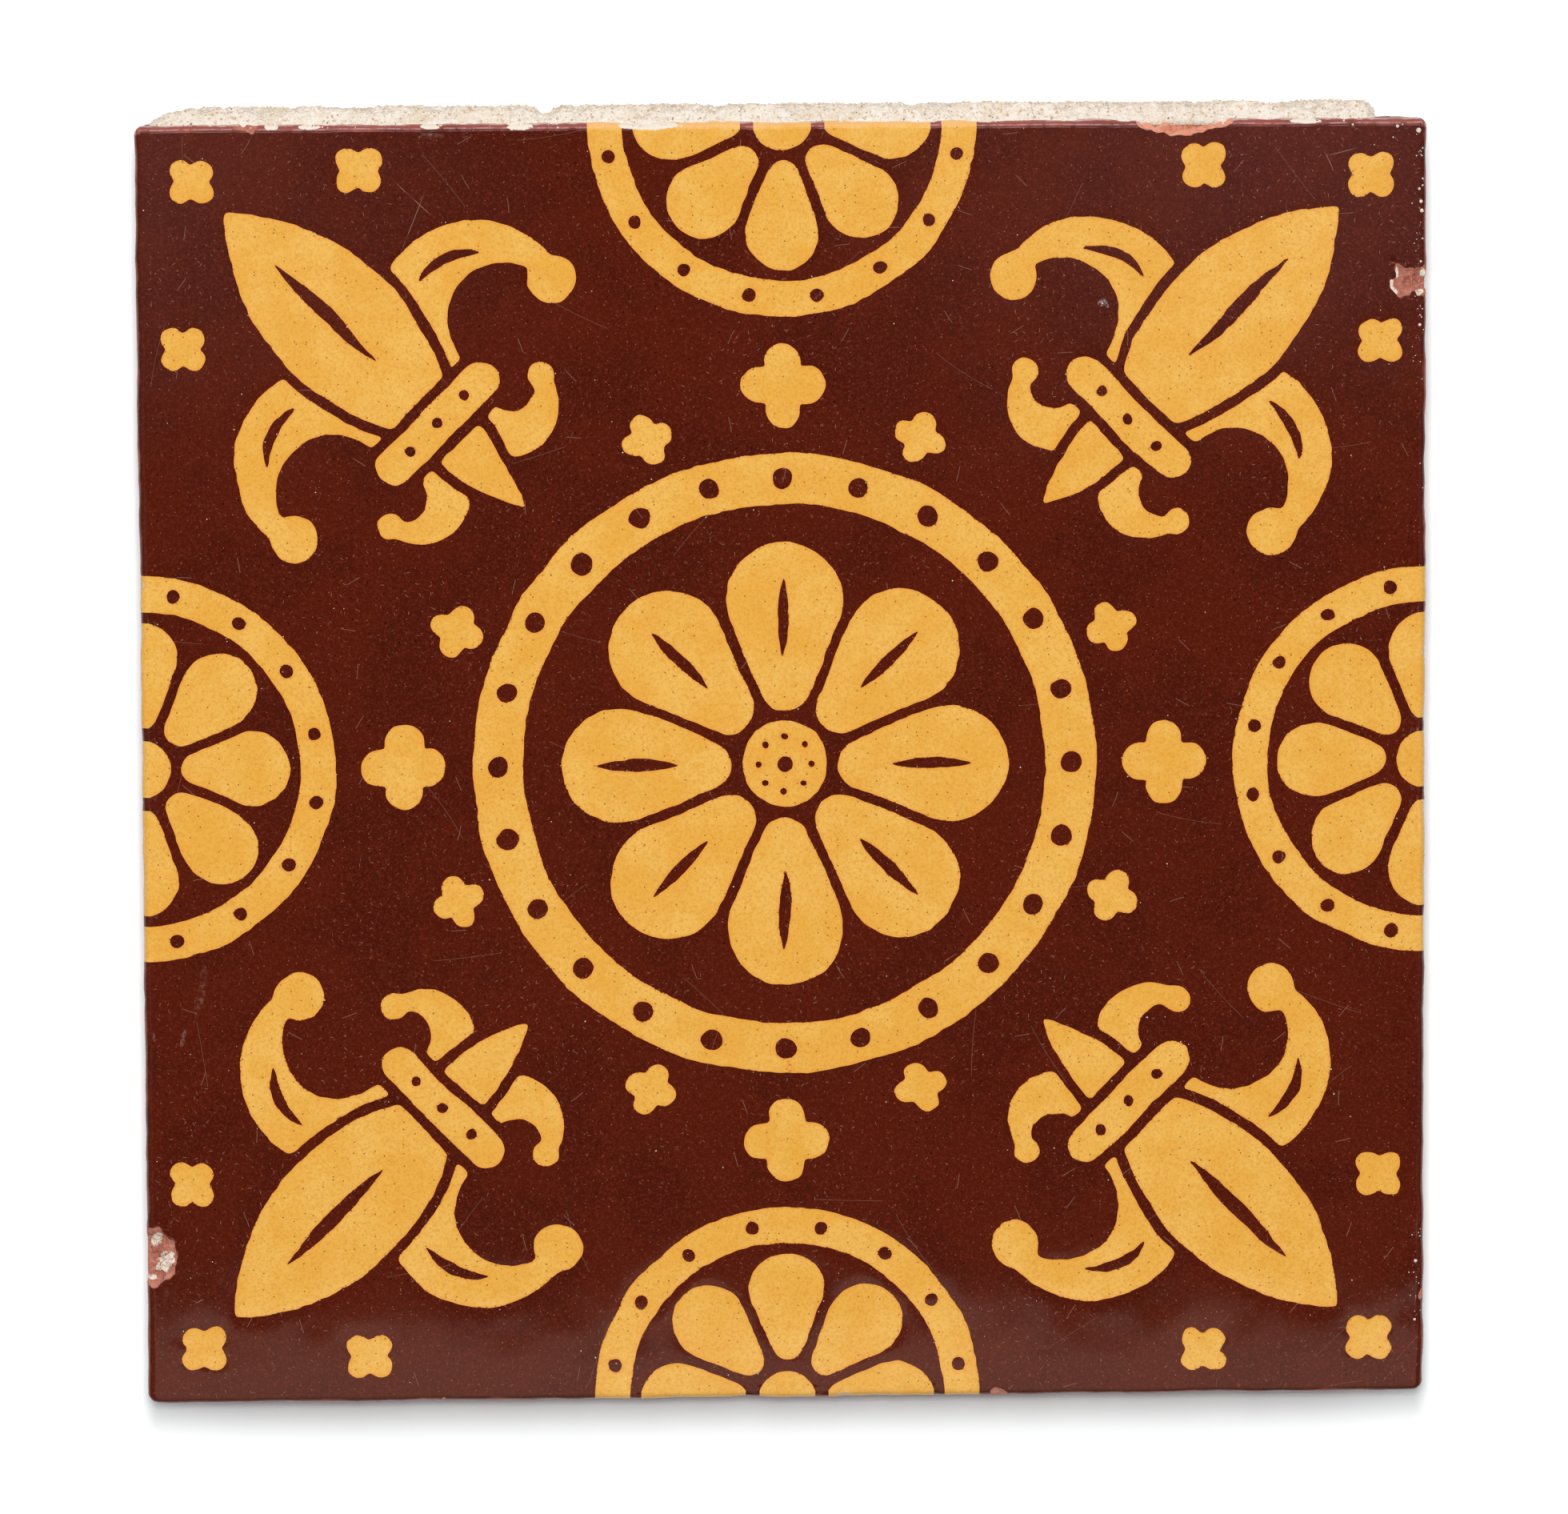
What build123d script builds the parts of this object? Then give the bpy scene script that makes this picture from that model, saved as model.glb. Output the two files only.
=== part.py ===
"""Inlaid (encaustic) clay floor tile, six inches square and one inch thick.

The tile lies on its back with its patterned face up. The origin is the centre of the back,
+Z rises to the face, and +Y points to the side that still carries old mortar.

The block is red plastic clay. Each motif of the pattern is buff clay, set flush in a recess
that is pressed into the face, so the block and its inlays share their walls. The pattern is
drawn with compasses: circles, and petals and leaves cut out between circles. Lengths are in
millimetres and angles in degrees.
"""

from build123d import *
import os
from math import atan2, cos, degrees, radians, sin, sqrt

# The block: its sides lean in towards the back, so that neighbours meet at the face
tile_side = 152.4
tile_thickness = 25.4
side_undercut = 1.5
corner_radius = 1.2
arris_radius = 0.9
back_edge_radius = 0.6

# Keying pockets in the back, in staggered rows that keep the middle clear
pocket_mouth_radius = 5.0
pocket_floor_radius = 4.2
pocket_depth = 3.5
pocket_pitch = 44.0
pocket_long_row = 3
pocket_short_row = 2

# The inlay, and the narrowest line of red ground left between two pieces of it
inlay_depth = 3.0
ground_line = 1.2

# Rosette in the middle of the face
rosette_petals = 8
rosette_reach = 26.5
rosette_root = 9.2
rosette_vein_length = 10.0
rosette_vein_width = 1.4
rosette_vein_at = 17.5
eye_pellet_radius = 0.55
eye_pellet_circle = 3.2
eye_heart_radius = 1.0

# Pelleted ring round the rosette
ring_inner = 31.0
ring_width = 6.0
ring_pellets = 24
ring_pellet_radius = 1.3

# Half roundels that run off the four edges
roundel_radius = 23.0
roundel_band = 4.2
roundel_petals = 8
roundel_root = 6.6
roundel_pellets = 16
roundel_pellet_radius = 0.9

# Fleurs-de-lis that point to the four corners, drawn upright from the middle of the tie
fleur_from_corner = 50.0
tie_width = 19.0
tie_height = 4.4
tie_pellet_radius = 0.75
tie_pellet_pitch = 4.6
petal_length = 37.6
petal_width = 15.4
petal_at = 16.5
petal_vein_length = 17.0
petal_vein_width = 1.7
petal_vein_at = 18.5
leaf_radius = 11.6
leaf_aside = 12.0
leaf_above = 5.6
leaf_hollow_radius = 6.8
leaf_hollow_aside = 14.4
leaf_hollow_above = 3.0
leaf_curl_radius = 2.9
leaf_curl_aside = 21.6
leaf_curl_above = 2.4
leaf_vein_radius = 7.8
leaf_vein_from = 38.0
leaf_vein_to = 104.0
leaf_vein_width = 1.3
foot_length = 25.0
foot_width = 6.6
foot_below = 2.0
foot_leaf_radius = 6.0
foot_leaf_aside = 7.4
foot_leaf_below = 4.4
foot_hollow_radius = 3.0
foot_hollow_aside = 9.2
foot_hollow_below = 3.2
foot_curl_radius = 1.6
foot_curl_aside = 12.7
foot_curl_below = 4.6

# Quatrefoils scattered over the ground
large_lobe = 2.2
small_lobe = 1.4
lobe_spread = 1.3
small_from_ring = 5.0
flank_from_corner = 22.5
flank_aside = 14.8
last_from_corner = 9.4

# Chips broken from the arris: place and length along it, bite into the face, drop down the side
north_chip_at = 47.1
north_chip_length = 11.0
north_chip_bite = 1.9
north_chip_drop = 2.4
east_chip_at = 57.0
east_chip_length = 3.4
east_chip_bite = 3.6
east_chip_drop = 1.6
west_chip_at = -59.4
west_chip_length = 6.2
west_chip_bite = 3.3
west_chip_drop = 1.8

# Old mortar on the +Y side: heights of its torn lower hem above the back, from west to east
mortar_thickness = 1.7
mortar_slope = 35.0
mortar_top_margin = 1.0
mortar_west_margin = 1.6
mortar_east_margin = 5.4
mortar_hem = (7.5, 3.2, 5.8, 2.2, 4.6, 1.8, 3.6, 8.4, 4.0, 2.4, 6.2, 10.5)

half_side = tile_side / 2
corner_distance = half_side * sqrt(2)
undercut_angle = degrees(atan2(side_undercut, tile_thickness))
recess_floor = tile_thickness - inlay_depth
stamp_height = inlay_depth + arris_radius
ring_outer = ring_inner + ring_width
fleur_at = corner_distance - fleur_from_corner
tie_clearance = tie_height / 2 + ground_line
fleur_span = 2 * (leaf_aside + leaf_radius + leaf_curl_radius)
pocket_draft = degrees(atan2(pocket_mouth_radius - pocket_floor_radius, pocket_depth))
side_height = sqrt(tile_thickness**2 + side_undercut**2)


def compass_plane(angle, distance=0.0):
    """A plane at the recess floor, this far from the middle, whose +Y points outwards."""
    heading = radians(angle)
    centre = (distance * cos(heading), distance * sin(heading), recess_floor)
    return Plane(origin=centre, x_dir=(sin(heading), -cos(heading), 0), z_dir=(0, 0, 1))


def draw_lens(at, length, width, margin=0.0, mode=Mode.ADD):
    """A pointed petal between two arcs, centred on the Y axis and grown by a margin all round."""
    arc_radius = (length**2 + width**2) / (4 * width)
    arc_centre = arc_radius - width / 2
    half_length = sqrt((arc_radius + margin) ** 2 - arc_centre**2)
    half_width = width / 2 + margin
    with BuildLine() as outline:
        ThreePointArc((0, at - half_length), (half_width, at), (0, at + half_length))
        ThreePointArc((0, at + half_length), (-half_width, at), (0, at - half_length))
    make_face(outline.edges(), mode=mode)


def draw_curved_vein(centre, radius, start, end, width, mode=Mode.ADD):
    """A pointed stroke that follows part of a circle."""
    middle = (start + end) / 2

    def on_circle(angle, offset=0.0):
        reach = radius + offset
        return (centre[0] + reach * cos(radians(angle)), centre[1] + reach * sin(radians(angle)))

    with BuildLine() as outline:
        ThreePointArc(on_circle(start), on_circle(middle, width / 2), on_circle(end))
        ThreePointArc(on_circle(end), on_circle(middle, -width / 2), on_circle(start))
    make_face(outline.edges(), mode=mode)


def draw_round_petal(reach, root, count):
    """One of a ring of petals, along +Y: a root circle, a tip circle and the sides between them."""
    lean = radians(180 / count)
    spread = sin(lean)
    tip = (reach + ground_line / 2) / (1 + spread)
    tip_radius = tip * spread - ground_line / 2
    root_radius = root * spread - ground_line / 2
    tip_side = (tip_radius * cos(lean), tip - tip_radius * spread)
    root_side = (root_radius * cos(lean), root - root_radius * spread)
    with BuildLine() as outline:
        ThreePointArc((-tip_side[0], tip_side[1]), (0, tip + tip_radius), tip_side)
        Line(tip_side, root_side)
        ThreePointArc(root_side, (0, root - root_radius), (-root_side[0], root_side[1]))
        Line((-root_side[0], root_side[1]), (-tip_side[0], tip_side[1]))
    make_face(outline.edges())


def eye_radius(root, count):
    """The radius of the eye that leaves the ground line to the roots of its petals."""
    return root - (root * sin(radians(180 / count)) - ground_line / 2) - ground_line


def draw_quatrefoil(lobe):
    """Four round lobes on the sides of a small square that fills the middle."""
    with PolarLocations(lobe * lobe_spread, 4):
        Circle(lobe)
    Rectangle(lobe, lobe)


def clear_ring_and_roundels(middle):
    """Cuts a sketch back to the ground line round the ring and the two nearest roundels."""
    edge = half_side * sin(radians(45))
    with Locations((0, -middle)):
        Circle(ring_outer + ground_line, mode=Mode.SUBTRACT)
    with Locations((edge, edge - middle), (-edge, edge - middle)):
        Circle(roundel_radius + ground_line, mode=Mode.SUBTRACT)


def make_chip(outward, along, length, bite, drop):
    """A ball that takes a chip of this length, width and drop out of the arris on one side."""
    out = (length**2 / 4 - bite**2) / (2 * bite)
    up = (length**2 / 4 - drop**2) / (2 * drop)
    sideways = Vector(0, 0, 1).cross(outward)
    middle = outward * (half_side + out) + sideways * along + Vector(0, 0, tile_thickness + up)
    with BuildPart(Plane(origin=middle)) as chip:
        Sphere(sqrt(length**2 / 4 + out**2 + up**2))
    return chip.part


def make_block():
    """The whole tile before its face is pressed: undercut sides, rounded edges and chips."""
    chips = [
        make_chip(Vector(0, 1, 0), -north_chip_at, north_chip_length, north_chip_bite, north_chip_drop),
        make_chip(Vector(1, 0, 0), east_chip_at, east_chip_length, east_chip_bite, east_chip_drop),
        make_chip(Vector(-1, 0, 0), -west_chip_at, west_chip_length, west_chip_bite, west_chip_drop),
    ]
    with BuildPart() as block:
        with BuildSketch(Plane.XY.offset(tile_thickness)):
            Rectangle(tile_side, tile_side)
        extrude(amount=tile_thickness, dir=(0, 0, -1), taper=undercut_angle)
        fillet(block.edges().group_by(Axis.Z)[1], corner_radius)
        fillet(block.edges().group_by(Axis.Z)[-1], arris_radius)
        fillet(block.edges().group_by(Axis.Z)[0], back_edge_radius)
        add(chips, mode=Mode.SUBTRACT)
    return block.part


def make_rosette_stamp():
    """Round petals with pointed veins, about a pelleted eye."""
    with BuildPart() as stamp:
        for petal in range(rosette_petals):
            with BuildSketch(compass_plane(360 * petal / rosette_petals)):
                draw_round_petal(rosette_reach, rosette_root, rosette_petals)
                draw_lens(rosette_vein_at, rosette_vein_length, rosette_vein_width, mode=Mode.SUBTRACT)
        with BuildSketch(compass_plane(90)):
            Circle(eye_radius(rosette_root, rosette_petals))
            Circle(eye_heart_radius, mode=Mode.SUBTRACT)
            with PolarLocations(eye_pellet_circle, rosette_petals):
                Circle(eye_pellet_radius, mode=Mode.SUBTRACT)
        extrude(amount=stamp_height)
    return stamp.part


def make_ring_stamp():
    """A flat ring, pierced by pellets of the ground."""
    with BuildPart() as stamp:
        with BuildSketch(compass_plane(90)):
            Circle(ring_outer)
            Circle(ring_inner, mode=Mode.SUBTRACT)
            with PolarLocations(ring_inner + ring_width / 2, ring_pellets):
                Circle(ring_pellet_radius, mode=Mode.SUBTRACT)
        extrude(amount=stamp_height)
    return stamp.part


def make_roundel_stamp(angle):
    """A pelleted band and a small rosette, centred on the tile's edge so that half of it shows."""
    pellet_step = 360 / roundel_pellets
    petal_reach = roundel_radius - roundel_band - ground_line
    with BuildPart() as stamp:
        with BuildSketch(compass_plane(angle, half_side)):
            Circle(roundel_radius)
            Circle(roundel_radius - roundel_band, mode=Mode.SUBTRACT)
            with PolarLocations(roundel_radius - roundel_band / 2, roundel_pellets, pellet_step / 2):
                Circle(roundel_pellet_radius, mode=Mode.SUBTRACT)
            Circle(eye_radius(roundel_root, roundel_petals))
        for petal in range(roundel_petals):
            turn = 360 * petal / roundel_petals
            with BuildSketch(compass_plane(angle, half_side).rotated((0, 0, turn))):
                draw_round_petal(petal_reach, roundel_root, roundel_petals)
        extrude(amount=stamp_height)
    return stamp.part


def make_fleur_stamp(angle):
    """A fleur-de-lis that points to a corner: petal and leaves above the tie, a small foot below."""
    plane = compass_plane(angle, fleur_at)
    with BuildPart() as stamp:
        with BuildSketch(plane):
            # Each upper leaf is a crescent that ends in a round curl
            with Locations((leaf_aside, leaf_above)):
                Circle(leaf_radius)
            with Locations((leaf_hollow_aside, leaf_hollow_above)):
                Circle(leaf_hollow_radius, mode=Mode.SUBTRACT)
            leaf = (leaf_aside, leaf_above)
            draw_curved_vein(leaf, leaf_vein_radius, leaf_vein_from, leaf_vein_to, leaf_vein_width, Mode.SUBTRACT)
            draw_lens(petal_at, petal_length, petal_width, ground_line, Mode.SUBTRACT)
            with Locations((0, tie_clearance)):
                Rectangle(fleur_span, fleur_span, align=(Align.CENTER, Align.MAX), mode=Mode.SUBTRACT)
            with Locations((leaf_curl_aside, leaf_curl_above)):
                Circle(leaf_curl_radius)
            mirror(about=Plane.YZ)
            clear_ring_and_roundels(fleur_at)
        with BuildSketch(plane):
            # The foot's leaves are like them, smaller and hanging down
            with Locations((foot_leaf_aside, -foot_leaf_below)):
                Circle(foot_leaf_radius)
            with Locations((foot_hollow_aside, -foot_hollow_below)):
                Circle(foot_hollow_radius, mode=Mode.SUBTRACT)
            draw_lens(-foot_below, foot_length, foot_width, ground_line, Mode.SUBTRACT)
            with Locations((0, -tie_clearance)):
                Rectangle(fleur_span, fleur_span, align=(Align.CENTER, Align.MIN), mode=Mode.SUBTRACT)
            with Locations((foot_curl_aside, -foot_curl_below)):
                Circle(foot_curl_radius)
            mirror(about=Plane.YZ)
            clear_ring_and_roundels(fleur_at)
        with BuildSketch(plane):
            draw_lens(-foot_below, foot_length, foot_width)
            with Locations((0, -tie_clearance)):
                Rectangle(fleur_span, fleur_span, align=(Align.CENTER, Align.MIN), mode=Mode.SUBTRACT)
            clear_ring_and_roundels(fleur_at)
        with BuildSketch(plane):
            draw_lens(petal_at, petal_length, petal_width)
            draw_lens(petal_vein_at, petal_vein_length, petal_vein_width, mode=Mode.SUBTRACT)
            with Locations((0, tie_clearance)):
                Rectangle(fleur_span, fleur_span, align=(Align.CENTER, Align.MAX), mode=Mode.SUBTRACT)
        with BuildSketch(plane):
            SlotOverall(tie_width, tie_height)
            with GridLocations(tie_pellet_pitch, 0, 3, 1):
                Circle(tie_pellet_radius, mode=Mode.SUBTRACT)
        extrude(amount=stamp_height)
    return stamp.part


def make_quatrefoil_stamp():
    """Large quatrefoils between ring and roundels, small ones round the ring and near the corners."""
    large_at = (ring_outer + half_side - roundel_radius) / 2
    small_at = ring_outer + small_from_ring
    with BuildPart() as stamp:
        for quarter in range(4):
            with BuildSketch(compass_plane(90 * quarter, large_at)):
                draw_quatrefoil(large_lobe)
            with BuildSketch(compass_plane(90 * quarter + 22.5, small_at)):
                draw_quatrefoil(small_lobe)
            with BuildSketch(compass_plane(90 * quarter - 22.5, small_at)):
                draw_quatrefoil(small_lobe)
            with BuildSketch(compass_plane(90 * quarter + 45, corner_distance)):
                with Locations((0, -last_from_corner)):
                    draw_quatrefoil(small_lobe)
                with Locations((flank_aside, -flank_from_corner), (-flank_aside, -flank_from_corner)):
                    draw_quatrefoil(small_lobe)
        extrude(amount=stamp_height)
    return stamp.part


def make_body(block, stamps):
    """The block of red clay, with the recesses pressed into its face and pockets into its back."""
    with BuildPart() as body:
        add(block)
        add(stamps, mode=Mode.SUBTRACT)
        with BuildSketch() as mouths:
            with GridLocations(pocket_pitch, pocket_pitch, pocket_long_row, pocket_short_row):
                Circle(pocket_mouth_radius)
            with GridLocations(pocket_pitch, pocket_pitch, pocket_short_row, pocket_long_row):
                Circle(pocket_mouth_radius)
        extrude(mouths.sketch, amount=pocket_depth, taper=pocket_draft, mode=Mode.SUBTRACT)
    return body.part


def make_inlay(block, stamp):
    """The buff clay that fills one motif's recesses, flush with the face."""
    with BuildPart() as inlay:
        add(stamp)
        add(block, mode=Mode.INTERSECT)
    return inlay.part


def make_mortar():
    """A crust of mortar along the +Y side, with a straight top and a torn hem."""
    hem_step = (tile_side - mortar_west_margin - mortar_east_margin) / (len(mortar_hem) - 1)
    west = -half_side + mortar_west_margin
    east = half_side - mortar_east_margin
    top = mortar_top_margin
    hem = [(west + hem_step * i, side_height - height) for i, height in enumerate(mortar_hem)]
    # On this plane X runs along the side and Y runs down it from the face
    side_plane = Plane(
        origin=(0, half_side, tile_thickness),
        x_dir=(1, 0, 0),
        z_dir=(0, cos(radians(undercut_angle)), -sin(radians(undercut_angle))),
    )
    with BuildPart() as mortar:
        with BuildSketch(side_plane) as outline:
            with BuildLine():
                Polyline((east, top), (west, top), *hem, (east, top))
            make_face()
        extrude(amount=mortar_thickness, taper=mortar_slope)
    return mortar.part


def write(name, part):
    """Labels a finished piece and writes it under its own name."""
    part.label = name
    export_step(part, f"parts/{name}.step")


block = make_block()
stamps = {
    "inlay_rosette": make_rosette_stamp(),
    "inlay_ring": make_ring_stamp(),
    "inlay_roundel_east": make_roundel_stamp(0),
    "inlay_roundel_north": make_roundel_stamp(90),
    "inlay_roundel_west": make_roundel_stamp(180),
    "inlay_roundel_south": make_roundel_stamp(270),
    "inlay_fleur_ne": make_fleur_stamp(45),
    "inlay_fleur_nw": make_fleur_stamp(135),
    "inlay_fleur_sw": make_fleur_stamp(225),
    "inlay_fleur_se": make_fleur_stamp(315),
    "inlay_quatrefoils": make_quatrefoil_stamp(),
}

os.makedirs("parts", exist_ok=True)
write("tile_body", make_body(block, list(stamps.values())))
for name, stamp in stamps.items():
    write(name, make_inlay(block, stamp))
write("mortar_residue", make_mortar())
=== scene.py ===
# %% [markdown]
# # A glazed, inlaid floor tile
#
# The tile is six inches of red clay with a pattern of buff clay let into its face, under a
# clear honey-coloured glaze. It is old: its arris is chipped, lime fills its pinholes, and one
# side still carries the mortar it was laid in. The solids of the tile come in as a fixed
# frame. Everything here gives them the surface of the real thing without moving them.

# %% Load the frame
import bmesh
import bpy
import numpy as np
from math import atan2, cos, hypot, pi, radians, sin, sqrt
from mathutils import Matrix, Vector
from mathutils.bvhtree import BVHTree
from mathutils.geometry import delaunay_2d_cdt
from mathutils.kdtree import KDTree


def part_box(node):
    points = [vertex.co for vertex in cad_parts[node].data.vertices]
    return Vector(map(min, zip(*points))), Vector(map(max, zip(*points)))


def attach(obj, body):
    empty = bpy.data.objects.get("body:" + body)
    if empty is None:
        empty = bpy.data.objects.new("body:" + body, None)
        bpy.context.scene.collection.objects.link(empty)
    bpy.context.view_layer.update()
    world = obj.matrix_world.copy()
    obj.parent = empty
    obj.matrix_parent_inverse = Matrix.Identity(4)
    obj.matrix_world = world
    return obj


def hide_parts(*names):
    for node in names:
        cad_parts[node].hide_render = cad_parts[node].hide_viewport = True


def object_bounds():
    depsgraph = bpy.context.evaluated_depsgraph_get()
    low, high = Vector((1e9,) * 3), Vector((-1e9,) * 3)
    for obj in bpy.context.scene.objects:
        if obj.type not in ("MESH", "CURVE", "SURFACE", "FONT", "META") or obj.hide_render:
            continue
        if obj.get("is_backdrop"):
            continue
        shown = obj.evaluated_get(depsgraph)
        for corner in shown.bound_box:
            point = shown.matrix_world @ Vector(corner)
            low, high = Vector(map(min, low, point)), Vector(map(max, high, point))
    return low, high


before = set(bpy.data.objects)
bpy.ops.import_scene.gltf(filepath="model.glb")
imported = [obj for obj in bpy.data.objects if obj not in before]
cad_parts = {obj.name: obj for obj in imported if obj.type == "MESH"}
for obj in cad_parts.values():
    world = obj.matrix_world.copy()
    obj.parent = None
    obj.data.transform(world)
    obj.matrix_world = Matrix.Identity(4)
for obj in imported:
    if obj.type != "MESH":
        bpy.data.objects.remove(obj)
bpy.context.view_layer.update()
inlay_nodes = [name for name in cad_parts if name.startswith("inlay_")]
print(len(inlay_nodes), "inlaid motifs in the frame")

# %% [markdown]
# ## Units and a few true sizes
#
# Scene objects are in metres, but clay is easier to think about in millimetres, so every
# outline below is worked out in millimetres and divided by a thousand once, when its mesh is
# made. The tile's thickness and the depth of the inlay are read from the frame, and its size
# is given.

# %% Sizes
millimetre = 0.001
tile_box = [np.array(corner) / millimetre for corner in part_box("tile_body")]
thickness = tile_box[1][2]
recess_floor = np.array(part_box("inlay_ring")[0])[2] / millimetre
half_side = 76.2
side_undercut = 1.5
corner_radius = 1.2
arris_radius = 0.9
back_edge_radius = 0.6
print("thickness", round(thickness, 2), "recess floor", round(recess_floor, 2), "half side", half_side)

# %% [markdown]
# ## Smooth noise that is the same on every piece
#
# Clay that was pressed by hand has no straight line in it. To bend it, we need a smooth
# random field. Blender's own noise works one point at a time; a sum of a few dozen waves
# with random directions looks the same, and numpy evaluates it for all points at once. The
# field depends on nothing but the place of a point, so two pieces that share an outline
# are bent alike and never part.


# %% Smooth noise
def smooth_noise(points, wavelength, seed, waves=24):
    """A random smooth field of about unit height whose bumps are about a wavelength apart."""
    random = np.random.default_rng(seed)
    size = points.shape[1]
    directions = random.normal(size=(waves, size))
    directions /= np.linalg.norm(directions, axis=1)[:, None]
    numbers = 2 * pi / (wavelength * random.uniform(0.7, 1.6, waves))
    phases = random.uniform(0, 2 * pi, waves)
    total = np.zeros(len(points))
    for direction, number, phase in zip(directions, numbers, phases):
        total += np.sin(points @ direction * number + phase)
    return total * sqrt(2 / waves)


def smooth_step(low, high, value):
    """0 below low, 1 above high, and a soft ramp between."""
    ramp = np.clip((value - low) / (high - low), 0, 1)
    return ramp * ramp * (3 - 2 * ramp)


# %% [markdown]
# ## Reading the pattern from the frame
#
# Each inlaid motif is a solid with a flat top. The edge of that top is the line where buff
# clay meets red, and it is all that is needed: the two clays are rebuilt on both sides of
# it. So the flat faces are picked out by their height and the way they look, and the edges
# that only one of them has are walked into chains of points.

# %% Flat faces and their edges
flat_within = 0.02
arris_band = 0.08
row_limit = half_side - arris_radius


def merged_mesh(node):
    """A node's mesh with shared corners, in millimetres."""
    mesh = bmesh.new()
    mesh.from_mesh(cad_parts[node].data)
    bmesh.ops.remove_doubles(mesh, verts=mesh.verts, dist=1e-6)
    bmesh.ops.scale(mesh, vec=(1 / millimetre,) * 3, verts=mesh.verts)
    mesh.normal_update()
    return mesh


def flat_faces(mesh, height, towards):
    """The faces that lie flat at this height and look up (towards 1) or down (towards -1)."""
    return [
        face
        for face in mesh.faces
        if face.normal.z * towards > 0.99 and all(abs(v.co.z - height) < flat_within for v in face.verts)
    ]


def edge_chains(faces):
    """The outlines of some faces, as lists of points, each with a flag that says if it is closed."""
    chosen = set(faces)
    links = {}
    for face in faces:
        for edge in face.edges:
            if sum(other in chosen for other in edge.link_faces) == 1:
                first, second = edge.verts
                links.setdefault(first, []).append(second)
                links.setdefault(second, []).append(first)

    def on_arris(vertex):
        return max(abs(vertex.co.x), abs(vertex.co.y)) > row_limit - arris_band

    # Edges that only run along the tile's own arris are no part of the pattern
    for vertex in list(links):
        if on_arris(vertex):
            links[vertex] = [other for other in links[vertex] if not on_arris(other)]
    chains = []
    used = set()
    ends = [vertex for vertex in links if len(links[vertex]) == 1]
    starts = ends + [vertex for vertex in links if len(links[vertex]) == 2]
    for start in starts:
        if start in used:
            continue
        chain = [start]
        used.add(start)
        while True:
            onward = [other for other in links[chain[-1]] if other not in used]
            if not onward:
                break
            chain.append(onward[0])
            used.add(onward[0])
        if len(chain) > 2:
            closed = chain[0] in links[chain[-1]]
            chains.append((np.array([v.co.xy for v in chain]), closed))
    return chains


print("the flat of the face ends", round(row_limit, 2), "mm from its middle")

# %% [markdown]
# ## Even outlines
#
# A chain's points are as far apart as the frame cut its arcs. It is walked again in even
# steps, which makes better triangles later. Its corners are softened a little, because slip
# that is poured into a pressed recess never fills a sharp corner. The flat top of each motif
# is kept too, as something to aim at: it will tell which motif a point of the face is in.

# %% Outlines of the motifs
line_spacing = 0.42
corner_softening = 2


def even_chain(points, closed, spacing):
    """The same outline with points at even distances, softened at its corners."""
    if closed:
        points = np.vstack([points, points[:1]])
    steps = np.linalg.norm(np.diff(points, axis=0), axis=1)
    along = np.concatenate([[0], np.cumsum(steps)])
    count = max(8, int(round(along[-1] / spacing)))
    stations = np.linspace(0, along[-1], count + 1)
    even = np.column_stack([np.interp(stations, along, points[:, axis]) for axis in (0, 1)])
    if closed:
        even = even[:-1]
    for _ in range(corner_softening):
        if closed:
            even = (np.roll(even, 1, axis=0) + 2 * even + np.roll(even, -1, axis=0)) / 4
        else:
            even[1:-1] = (even[:-2] + 2 * even[1:-1] + even[2:]) / 4
    return even


outlines = []
motif_tops = {}
for node in inlay_nodes:
    solid = merged_mesh(node)
    tops = flat_faces(solid, thickness, 1)
    for chain, closed in edge_chains(tops):
        outlines.append((even_chain(chain, closed, line_spacing), closed))
    corners = [vertex.co.copy() for vertex in solid.verts]
    motif_tops[node] = BVHTree.FromPolygons(corners, [[v.index for v in face.verts] for face in tops])
    solid.free()
owners = ["tile_body", *inlay_nodes]
print(len(outlines), "outlines with", sum(len(points) for points, _ in outlines), "points")

# %% [markdown]
# ## Where the tile is damaged
#
# Fired clay breaks in small shells: a blow on the arris lifts a flake with a hollow, rippled
# bed. Each flake is cut by a ball that enters the arris, as in the frame, and the three
# large ones repeat the frame's own. The rest are too small for the solids. A hollow in the
# face is a ball that enters from above. The list gives the side that the flake is on, its
# place and length along that side, how far it bites into the face and how far it drops
# down the side, and then, from 0 to 1, how red its bed is and how much lime lies on its
# rim and on its bed. A hollow has its place, half its width and its depth instead.

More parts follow.
